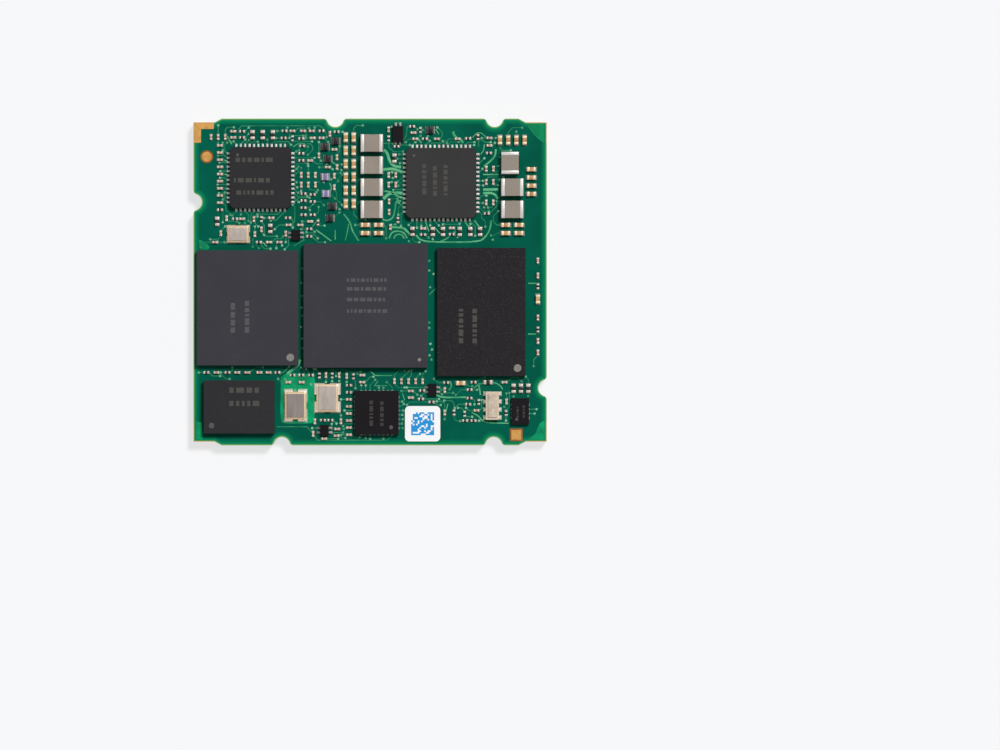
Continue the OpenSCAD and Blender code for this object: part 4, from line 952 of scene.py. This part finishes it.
underLines = [
    [(19.4, 2), (21.2, 3.6), (23.8, 5.8), (23.8, 7)], [(21, 2), (26.5, 6.7), (26.4, 7.2)],
    [(23.4, 2.4), (27.2, 6.4)], [(26, 3.3), (28.8, 6.3)], [(27.2, 3.1), (31.2, 7)],
    [(28.5, 3.0), (32.2, 6.8)], [(30.2, 3.1), (33.7, 6.6), (34, 7.4), (33.4, 8.8), (28.4, 13.3)],
    [(33.4, 9.3), (28.2, 13.8)], [(31.9, 9.2), (30.4, 10.5), (27.5, 12.4)],
    [(17.8, 2.2), (19.3, 3.5), (20.7, 4.9), (20.3, 5.6)], [(16.4, 3.9), (19, 3.9), (20, 4.8)],
    [(16.3, 4.6), (18.7, 4.6), (19.5, 5.3)], [(16.4, 5.6), (19, 5.6), (19.6, 6.2), (22.3, 6.2)],
    [(25.3, 4.4), (26.6, 4.4), (27.3, 5.1)], [(23.9, 3.1), (24.6, 3.1)], [(16.6, 7.6), (17.6, 9)],
    [(17.9, 7.4), (19.5, 9.2)], [(19.4, 7.6), (20.6, 8.8), (20.6, 10)], [(22, 7.6), (22, 9.8)],
    [(23.6, 6.8), (23.5, 10)], [(26.3, 7.4), (24.5, 9.8)], [(28.4, 6.5), (26.2, 8.6), (25.9, 10)],
    [(30.5, 7.4), (29, 9), (29.2, 10.1)], [(32, 8.9), (31, 9.8), (30.7, 10.3)],
    [(21.3, 10.5), (22.3, 11.5)], [(23.2, 10.6), (23.2, 11.4)], [(24.7, 10.7), (24.1, 11.5)],
    [(30.7, 10.8), (28.4, 11.1), (27.4, 12.2)], [(30.9, 15.3), (33.4, 17.9)],
    [(31.3, 16.1), (33.4, 18.2)], [(28.3, 16.8), (30.1, 18.2)], [(28.8, 19.2), (30, 18.3)],
    [(33.4, 20.4), (31.6, 20.6), (31, 21.6), (31, 23.2), (30.2, 23.6)], [(32.6, 20.8), (33, 22.2)],
    [(28.6, 17.3), (28.6, 23)],
    [(34.8, 14.8), (34.8, 29.6), (32.3, 32.2), (19.7, 32.2), (18.8, 31.6), (15.2, 31.6),
     (14.1, 32.8), (8.1, 32.8)],
    [(9.4, 31.6), (14, 31.6), (14.9, 31), (18.9, 31), (19.8, 31.6), (26.9, 31.6), (27.9, 30.4)],
    [(13.4, 30.2), (14.2, 30.9), (18.4, 30.6), (20.2, 31.3), (26.6, 31.3)], [(7.8, 30.1), (9.4, 31.6)],
    [(16.6, 27.4), (14.9, 28.9), (12.6, 29.9)], [(15.3, 27.3), (12.1, 28.9)],
    [(17.6, 27.4), (18.4, 28.8)], [(21.5, 27.1), (22.7, 28.1), (25.8, 28.1), (26.3, 27.4)],
    [(28.9, 25.3), (31.8, 27.7), (32.9, 29.6)], [(27.6, 25.4), (28.6, 27), (28.4, 29.4)],
    [(24.4, 29.9), (25, 29), (26, 29), (26.6, 29.9)], [(31, 28.4), (30.9, 29.6)],
    [(6.6, 20.8), (11, 25.4), (11.1, 26)], [(6.8, 21.7), (9.6, 24.6)], [(5.9, 23), (5.9, 27.9)],
    [(7, 24.1), (7.9, 25.6), (7.2, 27)], [(2, 23), (3.1, 24.3)], [(2.1, 25.5), (3.5, 27.5)],
    [(2.6, 28), (3.6, 27.6)], [(18.4, 32), (18.8, 32.6), (18.8, 35.7), (21, 36)],
    [(10.2, 34), (11.2, 34)], [(12.9, 34), (13.7, 34)], [(15.5, 34), (16.4, 34)],
    [(11.8, 24.8), (13.5, 23.4)],
]
underTracks = [(0.15, False, mirrored(*line)) for line in underLines] + [
    (0.3, True, mirrored((20, 16.3), (23.3, 16.1), (25.6, 18.2))),
    (0.2, True, mirrored((15.2, 23.8), (11, 28.5), (10.9, 29.6), (9.7, 31.5))),
    (0.12, True, mirrored((14.9, 18.5), (14.9, 23.3))),
]
underPours = [mirrored((22.2, 15.0), (24.6, 15.0), (25.4, 15.9), (22.2, 15.9))]
addTracks("top", topTracks, topVias, topPours)
addTracks("under", underTracks, [], underPours)


# Orange rings of bare laminate round the alignment marks
markRing = {"wide": 0.16, "rise": 0.012, "sides": 32, "roundDown": 4.3, "near": 0.2}
rings = bmesh.new()
for low, high in islands("alignment_marks"):
    side = "top" if high[2] > zTop else "under"
    level, up = faces[side]
    x, y = middle((low, high))[:2]
    size = (high - low)[0] + 2 * markRing["wide"]
    inRow = abs(y - fromCorner(0, markRing["roundDown"])[1]) < markRing["near"]
    outline = rectangle(x, y, size, size)
    if inRow or side == "under" and y < 0:  # the round marks
        outline = circle((x, y), size / 2, markRing["sides"])
    addSlab(rings, outline, level, level + up * markRing["rise"])
addPiece("mark_rings", rings, "resist", "board", weighted=False)


# Plain laser marks on the chip tops: dashes in rows, and a dot at each first corner
markShape = {
    "rise": 0.006, "sunk": 0.01, "seed": 5, "dash": (0.45, 1.6), "dashGap": 0.45, "leastDash": 0.5,
    "dotInset": 0.9, "dotDepth": 0.03, "dotOnFace": 0.008, "dotSides": 32,
    "dotProfile": [(0.97, -0.01), (0.97, 0.006), (0.4, 0.012)],
}
inks = {"": ("mark", "moulding"), "faint_": ("faintMark", "moulding"), "dim_": ("dimMark", "dark_moulding")}
dashRows = [  # kind, chip, rows from its middle, their length and height, and whether they run along Y
    ("", "storage_cap", [(-1.65, -1.0), (-0.05, -1.0)], 3.6, 0.5, True),
    ("faint_", "memory_cap", [(-2.3, -1.6), (-0.75, -1.6)], 3.9, 0.5, True),
    ("", "processor_cap", [(0.2, 2.9), (0.2, 1.9), (0.2, 0.7), (0.2, -0.6)], 4.6, 0.4, False),
    ("faint_", "network_chip", [(-0.7, 2.0), (-0.9, -0.3), (-0.6, -1.7)], 4.2, 0.5, False),
    ("faint_", "power_chip", [(-1.9, 0.4), (-0.7, 0.2), (0.5, 0.3)], 3.4, 0.45, True),
    ("faint_", "flash_cap", [(0.7, 1.9), (0.7, 0.4)], 3.6, 0.6, False),
    ("dim_", "interface_chip", [(-0.6, 0.0), (0.6, 0.0)], 3.0, 0.4, True),
    ("dim_", "identity_chip", [(-0.3, 0.0), (0.4, 0.0)], 1.4, 0.25, True),
]


def addDashes(bm, rng, node, places, length, height, alongY):
    low, high = islands(node)[0]
    for dx, dy in places:
        x, y = middle((low, high))[:2] + np.array([dx, dy])
        spot = -length / 2
        while spot < length / 2 - height * markShape["leastDash"]:
            dash = min(height * rng.uniform(*markShape["dash"]), length / 2 - spot)
            shift = spot + dash / 2
            box = rectangle(x, y + shift, height, dash) if alongY else rectangle(x + shift, y, dash, height)
            addSlab(bm, box, high[2] - markShape["sunk"], high[2] + markShape["rise"])
            spot += dash + height * markShape["dashGap"]


def addDot(bm, node, right, up, radius, inset, depth):
    low, high = islands(node)[0]
    spot = middle((low, high))[:2] + np.array([right, up]) * ((high - low)[:2] / 2 - inset)
    addTurned(bm, spot, markShape["dotProfile"], radius, high[2] - depth, 1, markShape["dotSides"])


rng = random.Random(markShape["seed"])
marks = {kind: bmesh.new() for kind in inks}
for kind, *row in dashRows:
    addDashes(marks[kind], rng, *row)
for kind, bm in marks.items():
    addPiece(kind + "laser_marks", bm, *inks[kind], weighted=False)
dots, darkDots = bmesh.new(), bmesh.new()
mouldedDots = {"storage_cap": (1, -1, 0.45), "processor_cap": (1, -1, 0.2), "memory_cap": (1, -1, 0.45),
               "flash_cap": (-1, -1, 0.33), "power_chip": (-1, 1, 0.2), "network_chip": (-1, 1, 0.2)}
paleDots = ("storage_cap", "processor_cap", "memory_cap")
for node, dot in mouldedDots.items():
    addDot(dots if node in paleDots else darkDots, node, *dot, markShape["dotInset"], markShape["dotDepth"])
for node, dot in {"interface_chip": (1, -1, 0.22, 0.85), "identity_chip": (-1, -1, 0.16, 0.6)}.items():
    addDot(darkDots, node, *dot, markShape["dotOnFace"])
addPiece("corner_dots", dots, "dimple", "moulding", weighted=False)
addPiece("dark_corner_dots", darkDots, "mark", "moulding", weighted=False)
print("marks done")


# Label print: a mosaic of plain squares
mosaic = {"cells": 14, "size": 2.6, "fill": 0.74, "tall": 0.98, "seed": 4, "rise": 0.006}


def addMosaic(name, node, seed):
    low, high = islands(node)[0]
    face, lift = (high[2], 1) if high[2] > zTop else (low[2], -1)
    left, front = middle((low, high))[:2] - mosaic["size"] / 2
    rng = random.Random(seed)
    cell = mosaic["size"] / mosaic["cells"]
    bm = bmesh.new()
    for i in range(mosaic["cells"]):
        run = 0
        for j in range(mosaic["cells"] + 1):
            if j < mosaic["cells"] and rng.random() < mosaic["fill"]:
                run += 1
            elif run:
                x, y = left + (j - run / 2) * cell, front + (i + 0.5) * cell
                strip = rectangle(x, y, run * cell, mosaic["tall"] * cell)
                addSlab(bm, strip, face, face + lift * mosaic["rise"])
                run = 0
    addPiece(name, bm, "ink", "label", weighted=False)


addMosaic("label_print", "code_label", mosaic["seed"])
addMosaic("under_label_print", "under_label", mosaic["seed"] + 1)
print("labels done")


# Floor, light and camera
studio = {
    "floor": tint(247, 248, 250), "floorGlow": 0.72, "floorRough": 0.9, "floorReach": 1.5,
    "sun": 2.65, "sunAngle": 13.0, "sunPath": (-0.36, -0.48, -1.0),
    "fill": 2.2, "fillAngle": 50.0, "fillPath": (0.1, 0.15, 1.0), "sky": 0.27, "skyShown": 0.94,
    "lens": 200.0, "sensor": 36.0, "clip": (0.01, 10.0), "pixelsPerMm": 8.83,
    "boardCentre": (370.1, 282.0), "image": (1000, 750),
}


def makeFloor():
    mesh = bpy.data.meshes.new("floor")
    outline = rectangle(0, 0, 2 * studio["floorReach"], 2 * studio["floorReach"])
    mesh.from_pydata([(*p, 0) for p in outline], [], [(0, 1, 2, 3)])
    floor = placed("floor", mesh)
    floor.visible_shadow = False  # the fill from below passes it
    look = Look("paleFloor", colour=studio["floor"], rough=studio["floorRough"], gloss=0.0)
    glow = look.node("ShaderNodeEmission", {}, {"Color": studio["floor"], "Strength": 1.0})
    lit = Sock(look, look.shader.outputs[0])
    blend = look.node("ShaderNodeMixShader", {}, {0: look.seenRays() * studio["floorGlow"], 1: lit, 2: glow})
    clear = look.node("ShaderNodeBsdfTransparent", {}, {})
    behind = look.node("ShaderNodeNewGeometry", {}, {}, "Backfacing")
    shown = look.node("ShaderNodeMixShader", {}, {0: behind, 1: blend, 2: clear})
    look.feed(look.tree.nodes["Material Output"].inputs["Surface"], shown)
    mesh.materials.append(look.material)


def makeSky():
    world = bpy.data.worlds.new("studioSky")
    bpy.context.scene.world = world
    world.use_nodes = True
    sky = Nodes(world.node_tree)
    white = (1.0, 1.0, 1.0, 1.0)
    light = sky.node("ShaderNodeBackground", {}, {"Color": white, "Strength": studio["sky"]})
    shown = sky.node("ShaderNodeBackground", {}, {"Color": white, "Strength": studio["skyShown"]})
    blend = sky.node("ShaderNodeMixShader", {}, {0: sky.seenRays(), 1: light, 2: shown})
    sky.feed(world.node_tree.nodes["World Output"].inputs["Surface"], blend)


def makeSun(name, energy, angle, direction):
    lamp = bpy.data.lights.new(name, "SUN")
    lamp.energy = energy
    lamp.angle = math.radians(angle)
    sun = placed(name, lamp)
    sun.rotation_euler = Vector(direction).to_track_quat("-Z", "Y").to_euler()


def makeCamera():
    data = bpy.data.cameras.new("camera")
    data.lens = studio["lens"]
    data.sensor_width = studio["sensor"]
    camera = placed("camera", data)
    wide, tall = studio["image"]
    across = wide / studio["pixelsPerMm"]
    x = (wide / 2 - studio["boardCentre"][0]) / studio["pixelsPerMm"]
    y = (studio["boardCentre"][1] - tall / 2) / studio["pixelsPerMm"]
    camera.location = Vector((x, y, zTop + across * studio["lens"] / studio["sensor"])) * mm
    data.clip_start, data.clip_end = studio["clip"]
    bpy.context.scene.camera = camera


makeFloor()
makeSky()
makeSun("keySun", studio["sun"], studio["sunAngle"], studio["sunPath"])
makeSun("fillSun", studio["fill"], studio["fillAngle"], studio["fillPath"])
makeCamera()
bpy.context.scene.view_settings.view_transform = "Standard"
print("studio done")
